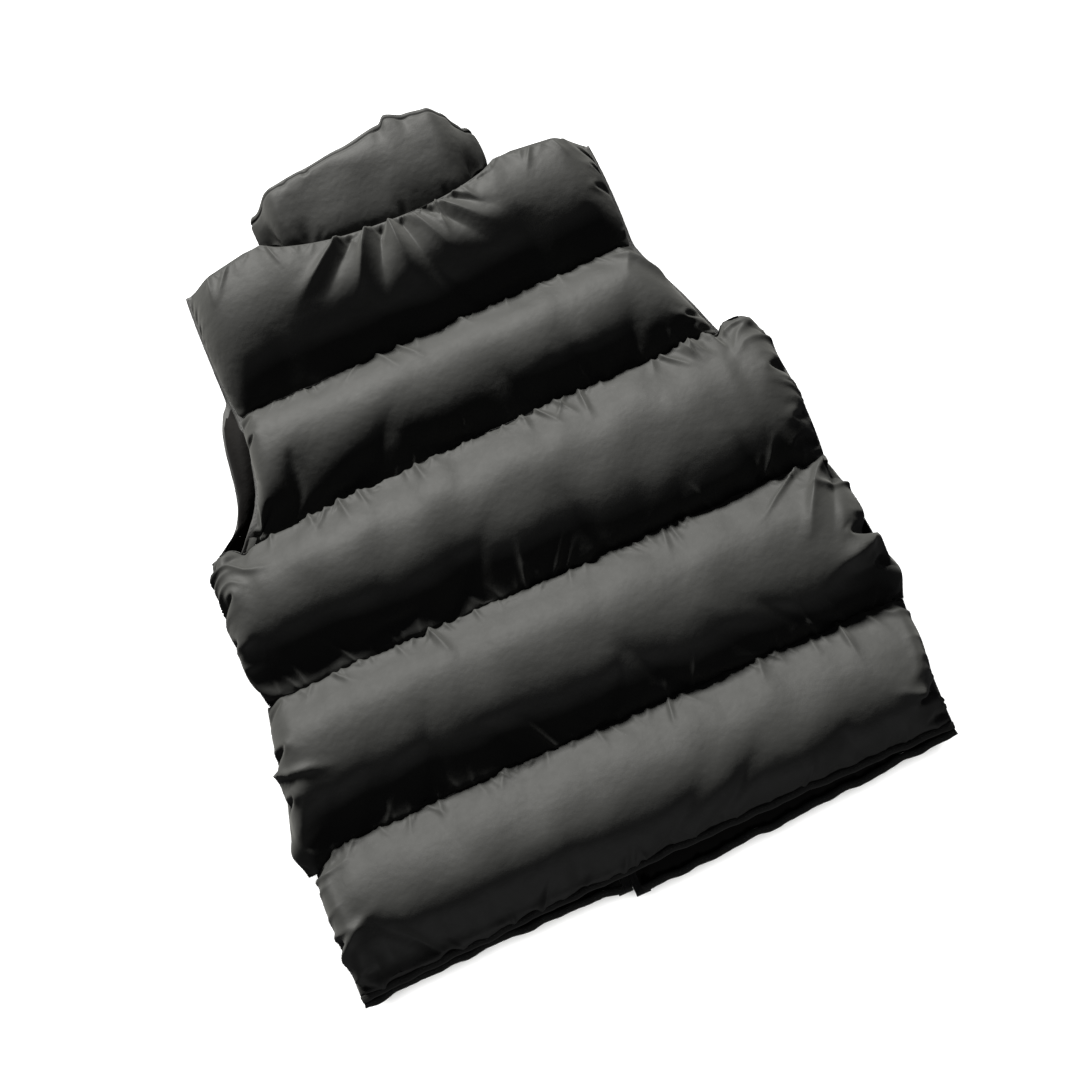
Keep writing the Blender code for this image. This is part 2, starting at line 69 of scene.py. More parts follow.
# Heights that the channels are sewn at
LAYER_Z = 0.0380          # where the linings of the fronts and the back lie on each other
GAP = 0.0003
EDGE = 0.0025
BACK_SEAM_Z = 0.0490
NECK_Z = 0.0735
SHOULDER_Z = 0.0670
FRONT_SEAM_Z = 0.0220
SEAM_RISE = 0.015
BACK_BORDER_Z = LAYER_Z + GAP / 2 + EDGE / 2
FRONT_BORDER_Z = LAYER_Z - GAP / 2 - EDGE / 2

# Half of the angle that a filled channel's section turns through
ARC = math.radians(54.0)
FILLED_RADIUS = 0.080
WALL_BULGE = 0.16         # how far a wall under an edge swells out, as a share of its height
SEAM_SHARE = 0.14         # share of a channel's width over which a seam's unevenness fades

# Neck, shoulders and front opening
NECK_LEFT = (-0.106, 0.288)
NECK_RIGHT = (0.107, 0.273)
SHOULDER_LEFT = (-0.189, 0.273)
SHOULDER_RIGHT = (0.193, 0.262)
NECK_DIP = 0.018
SHOULDER_ROUND = (0.158, 0.034, 0.0150)    # from this x, over this width, the shoulder drops this much
FRONT_NECK_Y = 0.213
FRONT_NECK_POWER = 1.6
ZIP_X = -0.034
FRONT_EDGE = 0.0070
TAPE_MARGIN = 0.0075

# Places of a channel's creases
CREASE_INSET = 0.015          # the rows along the seams start this far inside its ends
CREASE_RISE = 0.030           # width at an end over which they grow to their full height
SIDE_ROWS = (0.012, 0.120)    # the rows at its ends run between these distances from the upper seam
SIDE_FADE = 0.012
END_FADE = 0.006
BARE_PUFF = 0.010             # height of the lining's own puff where it shows

# Narrow strips, each with its width and its thickness
BINDING = (0.0066, 0.0020)
HEM_EDGE = (0.0060, 0.0026)
SEAM_RIDGE = (0.0098, 0.0015)
STRIP_STEP = 0.0030
BINDING_INSET = 0.0016        # how far a binding's middle lies inside the armhole's edge
BINDING_ROW = 0.35            # place of its stitches, as a share of its half width
HEM_PLACE = (0.0, -0.0026, -0.0004)    # from the last channel's lower edge
RIDGE_PLACE = (0.0, 0.0002, -0.0036)   # from the seam
RIDGE_ROW = (0.0, 0.0, 0.0050)         # of its stitches, from the ridge
RIDGE_ENDS = 9                # points of a seam that its ridge leaves free at each end
NARROWEST_CUT = 0.010


def ease(share: Array) -> Array:
    """Soft step from 0 to 1."""
    share = np.clip(share, 0.0, 1.0)
    return share * share * (3.0 - 2.0 * share)


def blend(low: Array, high: Array, share: Array) -> Array:
    """Value between two others, by share."""
    return low + (high - low) * share


def shoulder_drop(x: Array) -> Array:
    """How far the rounded right shoulder lies under the straight one at each x."""
    start, width, depth = SHOULDER_ROUND
    return depth * np.clip((x - start) / width, 0.0, 1.2) ** 2


def section(down: Array) -> tuple[Array, Array]:
    """Round section of a filled channel, at each share of the way down its cloth.

    Args:
        down: shares of the way down the cloth.

    Returns:
        Shares of the way down in the plan, and shares of the filling's height.
    """
    turn = ARC * (2.0 * down - 1.0)
    along = (1.0 + np.sin(turn) / math.sin(ARC)) / 2.0
    arch = np.maximum((np.cos(turn) - math.cos(ARC)) / (1.0 - math.cos(ARC)), 0.0)
    return along, arch


def way_down(shell: Array) -> Array:
    """Length of the cloth from a shell's first row to each point, down its column."""
    steps = np.linalg.norm(np.diff(shell, axis=1), axis=0)
    return np.concatenate([np.zeros((1, shell.shape[2])), np.cumsum(steps, axis=0)])


def way_along(points: Array) -> Array:
    """Length of a path from its first point to each of its points."""
    steps = np.linalg.norm(np.diff(points, axis=0), axis=1)
    return np.concatenate([[0.0], np.cumsum(steps)])


def no_bounds(columns: int) -> tuple[Array, Array]:
    """Lowest and highest corners, column by column, that are too far off to hold anything."""
    return np.full((3, 1, columns), -9.0), np.full((3, 1, columns), 9.0)


# --------------------------------------------------------------------------- sewing lines


@dataclass(frozen=True)
class Wander:
    """Smooth unevenness along a line, the same at each run."""

    seed: int
    size: float
    lengths: Sequence[float] = (0.110, 0.061, 0.037, 0.024)

    def at(self, place: Array) -> Array:
        """Amount of the wander at each place along the line."""
        chance = np.random.default_rng(self.seed)
        total = np.zeros_like(place)
        for length in self.lengths:
            turn, weight = chance.uniform(0.0, 2.0 * math.pi), chance.uniform(0.5, 1.0)
            total = total + weight * np.sin(2.0 * math.pi * place / length + turn)
        return total * self.size / math.sqrt(len(self.lengths))


class SewnLine:
    """Line that a channel is sewn along, as (y, z) at an x."""

    def at(self, x: Array, uneven: Array | float = 1.0) -> tuple[Array, Array]:
        """Height in the plan and height over the floor at each x.

        Args:
            x: places along the line.
            uneven: share of the line's own unevenness that is wanted.

        Returns:
            Heights in the plan and heights over the floor.
        """
        raise NotImplementedError

    def overhang(self, x: Array) -> Array:
        """How far the foot of a wall under the line stands past it at each x."""
        return np.zeros_like(x)


@dataclass(frozen=True)
class BackSeam(SewnLine):
    """Seam from side seam to side seam between two channels of the back."""

    y_left: float
    y_middle: float
    y_right: float
    x_left: float
    x_right: float
    seed: int
    middle_z: float = BACK_SEAM_Z
    hook: float = 0.0            # how far the left end hangs towards the hem
    hook_width: float = 0.034
    uneven_y: float = 0.0011
    uneven_z: float = 0.0008
    reference_half: float = 0.250

    def at(self, x: Array, uneven: Array | float = 1.0) -> tuple[Array, Array]:
        """Height in the plan and height over the floor at each x."""
        share = x / self.reference_half
        slope = (self.y_right - self.y_left) / 2
        bend = (self.y_right + self.y_left) / 2 - self.y_middle
        inward = np.minimum(x - self.x_left, self.x_right - x)
        free = ease(inward / SEAM_RISE)
        y = self.y_middle + slope * share + bend * share * share
        y = y - self.hook * (1.0 - ease((x - self.x_left) / self.hook_width))
        loose = free * uneven
        y = y + Wander(self.seed, self.uneven_y).at(x) * loose
        z = blend(BACK_BORDER_Z, self.middle_z, free)
        return y, z + Wander(self.seed + 50, self.uneven_z).at(x) * loose


@dataclass(frozen=True)
class ArmholeFoot(SewnLine):
    """Seam under the armholes, for the channel below it, whose corners swell up past the seam."""

    seam: BackSeam
    height: float = 0.0095
    width: float = 0.011
    corner: float = 0.241
    start: float = 0.003         # how far inside the seam's ends the swell starts
    corner_drop: float = 0.6     # share of the swell that is lost past the corners

    def at(self, x: Array, uneven: Array | float = 1.0) -> tuple[Array, Array]:
        """Height in the plan and height over the floor at each x."""
        y, z = self.seam.at(x, uneven)
        past = np.maximum(x - self.seam.x_right, self.seam.x_left - x) + self.start
        lost = self.corner_drop * ease((np.abs(x) - self.corner) / self.width)
        swell = ease(past / self.width) * (1.0 - lost)
        return y + self.height * swell, z


@dataclass(frozen=True)
class BackTop(SewnLine):
    """Shoulder, neck curve and shoulder: the upper edge of the back."""

    swell: float = 0.0035        # how far the filled shoulders stand past their seams
    neck_set_back: float = 0.0115
    shoulder_set_back: float = 0.0090
    end_flat: float = 0.006      # width at the outer ends that stays down
    end_rise: float = 0.026
    turn_width: float = 0.20     # in half widths of the neck, where the neck turns into the shoulders
    turn_start: float = 0.86
    overhang_start: float = 0.98

    @staticmethod
    def _off_centre(x: Array) -> Array:
        """Distance from the neck's middle, 1 at its corners."""
        half = (NECK_RIGHT[0] - NECK_LEFT[0]) / 2
        return np.abs(x - (NECK_RIGHT[0] + NECK_LEFT[0]) / 2) / half

    def _raised(self, x: Array) -> Array:
        """0 at the outer ends of the shoulders, 1 where the edge stands at its full height."""
        inward = np.minimum(x - SHOULDER_LEFT[0], SHOULDER_RIGHT[0] - x)
        return ease((inward - self.end_flat) / self.end_rise)

    def overhang(self, x: Array) -> Array:
        """How far the foot of the shoulders stands past their upper edge."""
        past = ease((self._off_centre(x) - self.overhang_start) / self.turn_width)
        return self.shoulder_set_back * past * self._raised(x)

    def at(self, x: Array, uneven: Array | float = 1.0) -> tuple[Array, Array]:
        """Height in the plan and height over the floor at each x."""
        corners = (SHOULDER_LEFT, NECK_LEFT, NECK_RIGHT, SHOULDER_RIGHT)
        y = np.interp(x, [c[0] for c in corners], [c[1] for c in corners])
        dip = NECK_DIP * np.maximum(0.0, 1.0 - self._off_centre(x) ** 2.5) + shoulder_drop(x)
        past = ease((self._off_centre(x) - self.turn_start) / self.turn_width)
        back = blend(self.neck_set_back, self.shoulder_set_back, past) * self._raised(x)
        z = blend(BACK_BORDER_Z, blend(NECK_Z, SHOULDER_Z, past), self._raised(x))
        return y - dip + self.swell * past - back, z


@dataclass(frozen=True)
class FrontSeam(SewnLine):
    """Seam of one front, from its side seam to the zip."""

    y_side: float
    y_zip: float
    sag: float
    x_side: float
    middle_z: float = FRONT_SEAM_Z
    wave: float = 0.0

    def at(self, x: Array, uneven: Array | float = 1.0) -> tuple[Array, Array]:
        """Height in the plan and height over the floor at each x."""
        along = (x - ZIP_X) / (self.x_side - ZIP_X)
        y = blend(self.y_zip, self.y_side, along) - self.sag * 4.0 * along * (1.0 - along)
        inward = np.abs(self.x_side - x)
        y = y + Wander(61, self.wave, (0.071, 0.043, 0.026)).at(x)
        return y, blend(FRONT_BORDER_Z, self.middle_z, ease(inward / SEAM_RISE))


@dataclass(frozen=True)
class FrontTop(SewnLine):
    """Upper edge of one front: the neck from the zip to the shoulder, then the shoulder."""

    neck: tuple[float, float]
    shoulder: tuple[float, float]

    def at(self, x: Array, uneven: Array | float = 1.0) -> tuple[Array, Array]:
        """Height in the plan and height over the floor at each x."""
        along = np.clip((x - ZIP_X) / (self.neck[0] - ZIP_X), 0.0, None)
        neck_y = blend(FRONT_NECK_Y, self.neck[1], np.minimum(along, 1.0) ** FRONT_NECK_POWER)
        past = (x - self.neck[0]) / (self.shoulder[0] - self.neck[0])
        shoulder_y = blend(self.neck[1], self.shoulder[1], past) - shoulder_drop(x)
        reach = ease(np.abs(self.neck[0] - x) / SEAM_RISE)
        neck_z = blend(FRONT_BORDER_Z, FRONT_SEAM_Z, reach)
        beyond = along >= 1.0
        return np.where(beyond, shoulder_y, neck_y), np.where(beyond, FRONT_BORDER_Z, neck_z)


@dataclass(frozen=True)
class SideEdge:
    """Left or right edge of a channel, from its upper seam (share 0) to its lower one (share 1)."""

    x_top: float
    x_foot: float
    outward: float
    power: float = 1.0
    bulge: float = 0.0
    reach: float = 0.028
    margin: float = 0.0
    lumps: tuple[tuple[float, float, float], ...] = ()    # share, width in shares, how far out

    def base(self, share: Array) -> Array:
        """The edge's x without its bulge."""
        return blend(self.x_top, self.x_foot, share**self.power)

    def at(self, share: Array) -> Array:
        """The edge's x, swelled out between its two seams."""
        swell = self.bulge * np.sin(math.pi * np.clip(share, 0.0, 1.0)) ** 0.75
        for place, width, size in self.lumps:
            swell = swell + size * np.exp(-(((share - place) / width) ** 2))
        return self.base(share) + self.outward * swell

    def rise(self, x: Array, share: Array) -> Array:
        """Share of the full height that the filling has at each x."""
        inward = self.outward * (self.at(share) - x) - self.margin
        left_over = 1.0 - np.clip(inward / self.reach, 0.0, 1.0)
        return (1.0 - left_over**2.4) ** 0.62


# --------------------------------------------------------------------------- channels


class Facing(Enum):
    """Side that a channel's shell looks to while the vest lies on its front."""

    UP = 1.0
    DOWN = -1.0


@dataclass(frozen=True)
class Fold:
    """Crease that runs into a channel from one of its seams."""

    x: float
    lean: float
    length: float
    width: float
    height: float
    start: float = 0.012
    crisp: float = 1.6           # 2 for a round crease, less for a sharp one

    def lift(self, x: Array, away: Array) -> Array:
        """Height of the crease at each x and each distance from the seam."""
        centre = self.x + self.lean * away
        widening = self.width * (0.7 + 0.9 * away / self.length)
        ridge = np.exp(-(np.abs((x - centre) / widening) ** self.crisp))
        fade = ease(away / self.start) * (1.0 - ease(away / self.length - 0.25))
        return self.height * ridge * fade


@dataclass(frozen=True)
class Tucks:
    """Small creases at uneven distances, where the sewing has caught the cloth."""

    seed: int
    space: float = 0.021
    length: float = 0.017
    width: float = 0.0024
    depth: float = 0.0026
    lean: float = 0.45

    def folds(self, low: float, high: float) -> list[Fold]:
        """The creases between two places along a seam."""
        chance = np.random.default_rng(self.seed)
        crowd = Wander(self.seed + 1, 0.55, (0.190, 0.110, 0.073))
        folds = []
        x = low + self.space * chance.uniform(0.2, 1.0)
        while x < high:
            size = chance.uniform(0.25, 1.0) ** 1.5 * float(np.clip(0.75 + crowd.at(x), 0.12, 1.35))
            folds.append(
                Fold(
                    x,
                    self.lean * chance.uniform(-1.0, 1.0),
                    self.length * (0.55 + 1.25 * size),
                    self.width * chance.uniform(0.7, 1.3),
                    -self.depth * (0.15 + 0.95 * size),
                    0.003,
                )
            )
            x += self.space * chance.uniform(0.35, 1.65)
        return folds


@dataclass(frozen=True)
class Weave:
    """Grid of a pillow while the cloth solver works on it."""

    rows: int
    columns: int

    def shares(self) -> tuple[Array, Array]:
        """Shares across and down at every point, each rows by columns."""
        across = np.linspace(0.0, 1.0, self.columns)[None, :]
        down = np.linspace(0.0, 1.0, self.rows)[:, None]
        return np.broadcast_arrays(across, down)

    def finer(self) -> Weave:
        """The grid with twice as many meshes each way."""
        return Weave(2 * self.rows - 1, 2 * self.columns - 1)


@dataclass(frozen=True)
class Gather:
    """Extra cloth that is sewn into a seam, and how far its puckers run."""

    seed: int
    share: float                 # mean extra length
    uneven: float                # how much it changes along the seam
    reach: float

    def at(self, place: Array, away: Array) -> Array:
        """Extra share of length at a place along the seam and a distance from it."""
        amount = self.share + Wander(self.seed, self.uneven, (0.150, 0.083, 0.047)).at(place)
        return np.maximum(amount, 0.0) * (1.0 - ease(away / self.reach))


@dataclass(frozen=True)
class PressedTop:
    """Height that a channel's crest is pressed to, by the share of the way down the channel."""

    shares: tuple[float, ...] = (0.0, 0.05, 0.12, 0.20, 0.28, 0.37, 0.48, 0.57, 0.65, 0.70, 0.75, 0.83, 1)
    heights: tuple[float, ...] = (
        0.0520, 0.0567, 0.0640, 0.0715, 0.0768, 0.0803, 0.0811, 0.0806, 0.0790, 0.0767, 0.0728,
        0.0655, 0.0520
    )
    raised: float = 0.0
    skew: float = 0.0            # change of the share's scale over a metre across
    lean: float = 0.0            # rise over a metre across, at share 0
    uneven: float = 0.0012

    @cached_property
    def _curve(self) -> tuple[Array, Array]:
        """The heights on even shares, with their corners rounded."""
        shares = np.linspace(-0.4, 1.4, 181)
        heights = np.interp(shares, self.shares, self.heights)
        for _ in range(60):
            heights[1:-1] = (heights[:-2] + 2.0 * heights[1:-1] + heights[2:]) / 4.0
        return shares, heights

    def height(self, x: Array, share: Array) -> Array:
        """The height at each x and each share."""
        level = np.interp(share * (1.0 - self.skew * x), *self._curve)
        return level + self.raised + self.lean * x * (1.0 - share)

    def dents(self, seed: int, x: Array, y: Array) -> Array:
        """Unevenness of the height over the plan."""
        rising = Wander(seed + 17, self.uneven, (0.171, 0.097, 0.062)).at(x + 0.45 * y)
        return rising + Wander(seed + 18, 0.6 * self.uneven, (0.083, 0.057)).at(x - 0.6 * y)


@dataclass(frozen=True)
class Channel:
    """One filled channel: the lines it is sewn along and the cloth that is gathered into them."""

    name: str
    upper: SewnLine
    lower: SewnLine
    left: SideEdge
    right: SideEdge
    crown: float
    facing: Facing
    upper_gather: Gather
    lower_gather: Gather
    side_gather: Gather
    seed: int
    lining_depth: float = 0.009
    bare_left: float = 0.0       # width along the left edge where the lining shows
    free_above: float = 0.0
    free_below: float = 0.0
    top: PressedTop | None = None
    folds: tuple[Fold, ...] = ()
    end_folds: tuple[Fold, ...] = ()
    side_folds: tuple[Fold, ...] = ()    # from the right edge, placed by the way down
    upper_tucks: tuple[Tucks, ...] = ()
    lower_tucks: tuple[Tucks, ...] = ()
    left_tucks: tuple[Tucks, ...] = ()
    right_tucks: tuple[Tucks, ...] = ()
    wall_above: bool = False
    wall_below: bool = False

    @property
    def outward(self) -> float:
        """Sign that turns the grid's normal to the outside."""
        return -self.facing.value

    def _plan(self, across: Array, down: Array) -> tuple[Array, Array]:
        """x of each point, and the share of the filling's height there."""
        left, right = self.left.at(down), self.right.at(down)
        x = blend(left, right, across)
        return x, self.left.rise(x, down) * self.right.rise(x, down)

    def shell(self, across: Array, down: Array) -> Array:
        """The shell's points before it is filled.

        Args:
            across: share of the way from the left edge to the right one.
            down: share of the way from the upper seam to the lower one.

        Returns:
            Points, as 3 by the shape of the shares.
        """
        x, rise = self._plan(across, down)
        along, arch = section(down)
        along = blend(down, along, rise)
        upper_y, upper_z = self.upper.at(x, 1.0 - ease(down / SEAM_SHARE))
        lower_y, lower_z = self.lower.at(x, 1.0 - ease((1.0 - down) / SEAM_SHARE))
        y = blend(upper_y - GAP / 2, lower_y + GAP / 2, along)
        z = blend(upper_z, lower_z, along)
        return np.stack([x, y, z + self.facing.value * self.crown * rise * arch])

    def creased(self, shell: Array) -> Array:
        """The filled shell with the creases that the sewing and the filling leave in it."""
        over, along = np.gradient(shell, axis=1), np.gradient(shell, axis=2)
        normal = np.cross(over, along, axis=0) * self.outward
        normal /= np.linalg.norm(normal, axis=0)
        x, way = shell[0], way_down(shell)
        from_left, from_right = x - x[:, :1], x[:, -1:] - x
        inward = np.minimum(from_left, from_right)
        rise = ease(inward / CREASE_RISE)
        reach = (float(x.min()) + CREASE_INSET, float(x.max()) - CREASE_INSET)
        lift = sum((crease.lift(x, way) for crease in self.folds), np.zeros_like(x))
        lift = lift + self._caught(self.upper_tucks, reach, x, way)
        lift = lift + self._caught(self.lower_tucks, reach, x, way[-1:] - way)
        sides = self._caught(self.left_tucks, SIDE_ROWS, way, from_left)
        sides = sides + self._caught(self.right_tucks, SIDE_ROWS, way, from_right)
        sides = sides + sum(crease.lift(way, from_right) for crease in self.side_folds)
        fade = ease(np.minimum(way, way[-1:] - way) / SIDE_FADE)
        ends = sum((crease.lift(x, way) for crease in self.end_folds), np.zeros_like(x))
        ends = ends * ease(inward / END_FADE)
        creased = shell + normal * (lift * rise + sides * fade + ends)
        creased[2] = np.maximum(creased[2], REST_Z)
        return creased

    @staticmethod
    def _caught(
        rows: Sequence[Tucks], reach: tuple[float, float], place: Array, away: Array
    ) -> Array:
        """Height of some rows of tucks, at places along a seam and distances from it."""
        creases = [crease for row in rows for crease in row.folds(*reach)]
        return sum((crease.lift(place, away) for crease in creases), np.zeros_like(place))

    def lining(self, across: Array, down: Array) -> Array:
        """The lining's points, pressed against the layer under or over it.

        Args:
            across: share of the way from the left edge to the right one.
            down: share of the way down, or less than 0 on the wall over the upper seam.

        Returns:
            Points, as 3 by the shape of the shares.
        """
        step = np.maximum(-down, 0.0)
        down = np.maximum(down, 0.0)
        x, rise = self._plan(across, down)
        upper_y, upper_z = self.upper.at(x)
        lower_y, lower_z = self.lower.at(x)
        if self.wall_above:
            foot = LAYER_Z + GAP / 2
            bulge = WALL_BULGE * (upper_z - foot) * np.sin(math.pi * step)
            wall_y = upper_y + self.upper.overhang(x) * ease(step) + bulge
            wall = np.stack([x, wall_y, blend(upper_z, foot, step)])
            upper_z = np.minimum(upper_z, BACK_SEAM_Z)
        arch = 4.0 * down * (1.0 - down)
        y = blend(upper_y - GAP / 2, lower_y + GAP / 2, down)
        z = blend(upper_z, lower_z, down)
        z = z - self.facing.value * self.lining_depth * rise * arch
        if self.facing is Facing.UP:
            lining = np.stack([x, y, np.maximum(z, LAYER_Z + GAP / 2)])
            return np.where(step > 0.0, wall, lining) if self.wall_above else lining
        z = np.minimum(z, LAYER_Z - GAP / 2)
        if self.bare_left > 0.0:
            inward = self.left.outward * (self.left.at(down) - x)
            bare = np.sin(math.pi * np.clip(inward / self.bare_left, 0.0, 1.0))
            z = z + BARE_PUFF * bare * arch**0.5
        return np.stack([x, y, z])

    def unpressed(self, edge: Array) -> Array:
        """Height, column by column, that keeps some of the channel free of the press."""
        return np.zeros(edge.shape[2])

    def slack(self, points: Array) -> tuple[Array, Array]:
        """Extra share of length that the cloth has at each point of the unfilled shell.

        Args:
            points: the shell's points, 3 by rows by columns.

        Returns:
            Extra shares along the seams and across them.
        """
        x, y = points[0], points[1]
        along = self.upper_gather.at(x, y[0] - y) + self.lower_gather.at(x, y - y[-1])
        inward = np.minimum(x - x[:, :1], x[:, -1:] - x)
        side = self.side_gather.at(y + 0.4 * np.sign(x), inward)
        plump = Wander(self.seed + 9, 0.012, (0.31, 0.17, 0.094)).at(x)
        return along, side + plump

    def room(self, edge: Array) -> tuple[Array, Array]:
        """Lowest and highest point that the shell may reach, column by column.

        Args:
            edge: the shell's pinned points, as 3 by rows by columns.

        Returns:
            Lowest and highest corner, each 3 by 1 by columns.
        """
        low, high = no_bounds(edge.shape[2])
        high[1, 0] = edge[1, 0] + self.free_above
        low[1, 0] = edge[1, -1] - self.free_below
        if self.facing is Facing.UP:
            low[2] = LAYER_Z + GAP / 2
        else:
            low[2], high[2] = REST_Z, LAYER_Z - GAP / 2
        return low, high


@dataclass(frozen=True)
class NeckBand:
    """The stand collar: one padded band round the neck, folded flat at both sides of it."""

    name: str = "padded_collar"
    seed: int = 71
    outward: float = 1.0
    facing: Facing = Facing.UP
    top_edge: tuple[tuple[float, float], ...] = (
        (-0.103, 0.3215),
        (-0.085, 0.3300),
        (-0.050, 0.3335),
        (-0.012, 0.3376),
        (0.029, 0.3436),
        (0.036, 0.3500),
        (0.053, 0.3430),
        (0.072, 0.3400),
        (0.084, 0.3340),
        (0.091, 0.3240),
        (0.0955, 0.3170),
    )
    zip_top_y: float = 0.288
    neck_gap: float = 0.0008
    top_gap: float = 0.002
    inner_gap: float = 0.003
    crown_back: float = 0.0095
    back_base_z: tuple[float, float] = (0.0620, 0.0585)
    back_top_z: float = 0.0665
    wall_above: bool = False
    wall_below: bool = True
    groove_depth: float = 0.0016
    groove_place: float = 0.0055
    groove_width: float = 0.0016
    crown_fold: float = 0.0022
    crown_front: float = 0.024
    fold_reach: float = 0.024
    highest_z: float = 0.09
    tape_rise: float = 0.022     # width beside the tape over which the front fills
    front_depth: float = 0.016
    back_depth: float = 0.008
    free_fold: float = 0.4       # height that keeps the folds free of the press
    free_rise: float = 0.016     # over the layers, where the press has its full effect
    counts: tuple[int, int, int] = (24, 9, 91)    # stations in a front, in a fold and in the back
    fold_insets: tuple[float, float] = (0.004, 0.012)    # from the neck's corners to the folds
    base_radius: float = 0.006
    top_radius: float = 0.010
    gather: Gather = Gather(73, 0.035, 0.03, 0.022)
    top: PressedTop | None = PressedTop(
        (0.0, 0.12, 0.30, 0.60, 0.90, 1.1),
        (0.0605, 0.0672, 0.0703, 0.0725, 0.0735, 0.0735),
        lean=0.03,
    )

    def _front(self, neck: tuple[float, float], fold_y: float, inward: float) -> list[list[float]]:
        """Stations (x, z_base, z_top, angle, y_base, y_top, crown, depth) from the zip to a fold."""
        edge_x = ZIP_X - inward * FRONT_EDGE
        fold_x = neck[0] + inward * self.fold_insets[neck[0] > 0.0]
        line = FrontTop(neck, (2.0 * neck[0], neck[1]))
        stations = []
        for share in np.linspace(0.0, 1.0, self.counts[0])[:-1]:
            x = blend(edge_x, fold_x, share)
            y_base, z = line.at(np.array(x))
            clear = max(abs(x - edge_x) - TAPE_MARGIN, 0.0)
            rise = math.sin(math.pi / 2 * min(clear / self.tape_rise, 1.0))
            fold = 1.0 - float(ease(np.array(abs(x - fold_x) / self.fold_reach)))
            y_top = blend(self.zip_top_y, fold_y, float(ease(np.array(share))))
            z_base = blend(float(z), LAYER_Z - self.base_radius, fold)
            z_top = blend(FRONT_SEAM_Z, LAYER_Z - self.top_radius, fold)
            crown = blend(self.crown_front, self.crown_fold, fold) * rise
            depth = self.front_depth * (1.0 - fold) * rise
            stations.append([x, z_base, z_top, -math.pi / 2, float(y_base), y_top, crown, depth])
        return stations

    def _fold(self, neck: tuple[float, float], y_top: float, side: float) -> list[list[float]]:
        """Stations round a fold, from the front to the back."""
        stations = []
        for turn in np.linspace(-90.0, 90.0, self.counts[1]):
            angle = math.radians(turn) if side > 0 else math.pi - math.radians(turn)
            middle_x = neck[0] - side * self.fold_insets[side > 0.0]
            x = middle_x + self.base_radius * math.cos(angle)
            z_base = LAYER_Z + self.base_radius * math.sin(angle)
            z_top = LAYER_Z + self.top_radius * math.sin(angle)
            stations.append([x, z_base, z_top, angle, neck[1], y_top, self.crown_fold, 0.0])
        return stations

    def _back(self) -> list[list[float]]:
        """Stations along the back of the neck."""
        stations = []
        tops = np.array(self.top_edge)
        low_x, high_x = NECK_LEFT[0] + self.fold_insets[0], NECK_RIGHT[0] - self.fold_insets[1]
        for x in np.linspace(low_x, high_x, self.counts[2])[1:-1]:
            y_base, _ = BackTop().at(np.array(x))
            z = blend(*self.back_base_z, (x - low_x) / (high_x - low_x))
            i = int(np.searchsorted(tops[:, 0], x)) - 1
            low, high = tops[i], tops[i + 1]
            y_top = blend(low[1], high[1], float(ease(np.array((x - low[0]) / (high[0] - low[0])))))
            share = float(ease(np.array(min(x - low_x, high_x - x) / self.fold_reach)))
            y_base = blend((NECK_LEFT if x < 0.0 else NECK_RIGHT)[1], float(y_base), share)
            crown = blend(self.crown_fold, self.crown_back, share)
            z_base = blend(LAYER_Z + self.base_radius, z, share)
            z_top = blend(LAYER_Z + self.top_radius, self.back_top_z, share)
            depth = self.back_depth * share
            stations.append([x, z_base, z_top, math.pi / 2, y_base, y_top, crown, depth])
        return stations

    def _stations(self) -> Array:
        """All stations round the neck, 8 numbers each, with the way along the shell in front."""
        left, right = self.top_edge[0][1], self.top_edge[-1][1]
        rows = np.array(
            self._front(NECK_LEFT, left, 1.0)
            + self._fold(NECK_LEFT, left, -1.0)
            + self._back()
            + self._fold(NECK_RIGHT, right, 1.0)[::-1]
            + self._front(NECK_RIGHT, right, -1.0)[::-1]
        )
        x = rows[:, 0] + np.cos(rows[:, 3]) * rows[:, 6]
        z = rows[:, 1] + np.sin(rows[:, 3]) * rows[:, 6]
        way = np.concatenate([[0.0], np.cumsum(np.hypot(np.diff(x), np.diff(z)))])
        return np.column_stack([way, rows])

    def _at(self, across: Array) -> Array:
        """The 8 numbers of the stations at each share of the way along the band."""
        stations = self._stations()
        way = across * stations[-1, 0]
        return np.stack([np.interp(way, stations[:, 0], stations[:, i]) for i in range(1, 9)])

    def shell(self, across: Array, down: Array) -> Array:
        """The shell's points before it is filled, from the neck seam to the top edge."""
        x, z_base, z_top, angle, y_base, y_top, crown, _ = self._at(across)
        along, arch = section(down)
        y = blend(y_base + self.neck_gap, y_top - self.top_gap, along)
        z = blend(z_base, z_top, along) + np.sin(angle) * crown * arch
        return np.stack([x + np.cos(angle) * crown * arch, y, np.maximum(z, 0.0)])

    def lining(self, across: Array, down: Array) -> Array:
        """The lining's points, pressed together inside the folded band."""
        x, z_base, z_top, angle, y_base, y_top, _, depth = self._at(across)
        step = np.maximum(down - 1.0, 0.0)
        down = np.minimum(down, 1.0)
        arch = 4.0 * down * (1.0 - down)
        y = blend(y_base + self.neck_gap, y_top - self.top_gap, down)
        side = np.sign(np.round(np.sin(angle), 2))
        pressed = blend(z_base, z_top, down) - np.sin(angle) * (depth + self.inner_gap) * arch
        pressed = np.where(side > 0, np.maximum(pressed, LAYER_Z + GAP / 2), pressed)
        pressed = np.where(side < 0, np.minimum(pressed, LAYER_Z - GAP / 2), pressed)
        inner_x = x - np.cos(angle) * self.inner_gap * arch
        foot = np.where(side == 0.0, z_top, LAYER_Z + side * GAP / 2)
        wall_y = y + WALL_BULGE * np.abs(z_top - foot) * np.sin(math.pi * step)
        wall = np.stack(np.broadcast_arrays(x, wall_y, blend(z_top, foot, step)))
        return np.where(step > 0.0, wall, np.stack([inner_x, y, pressed]))

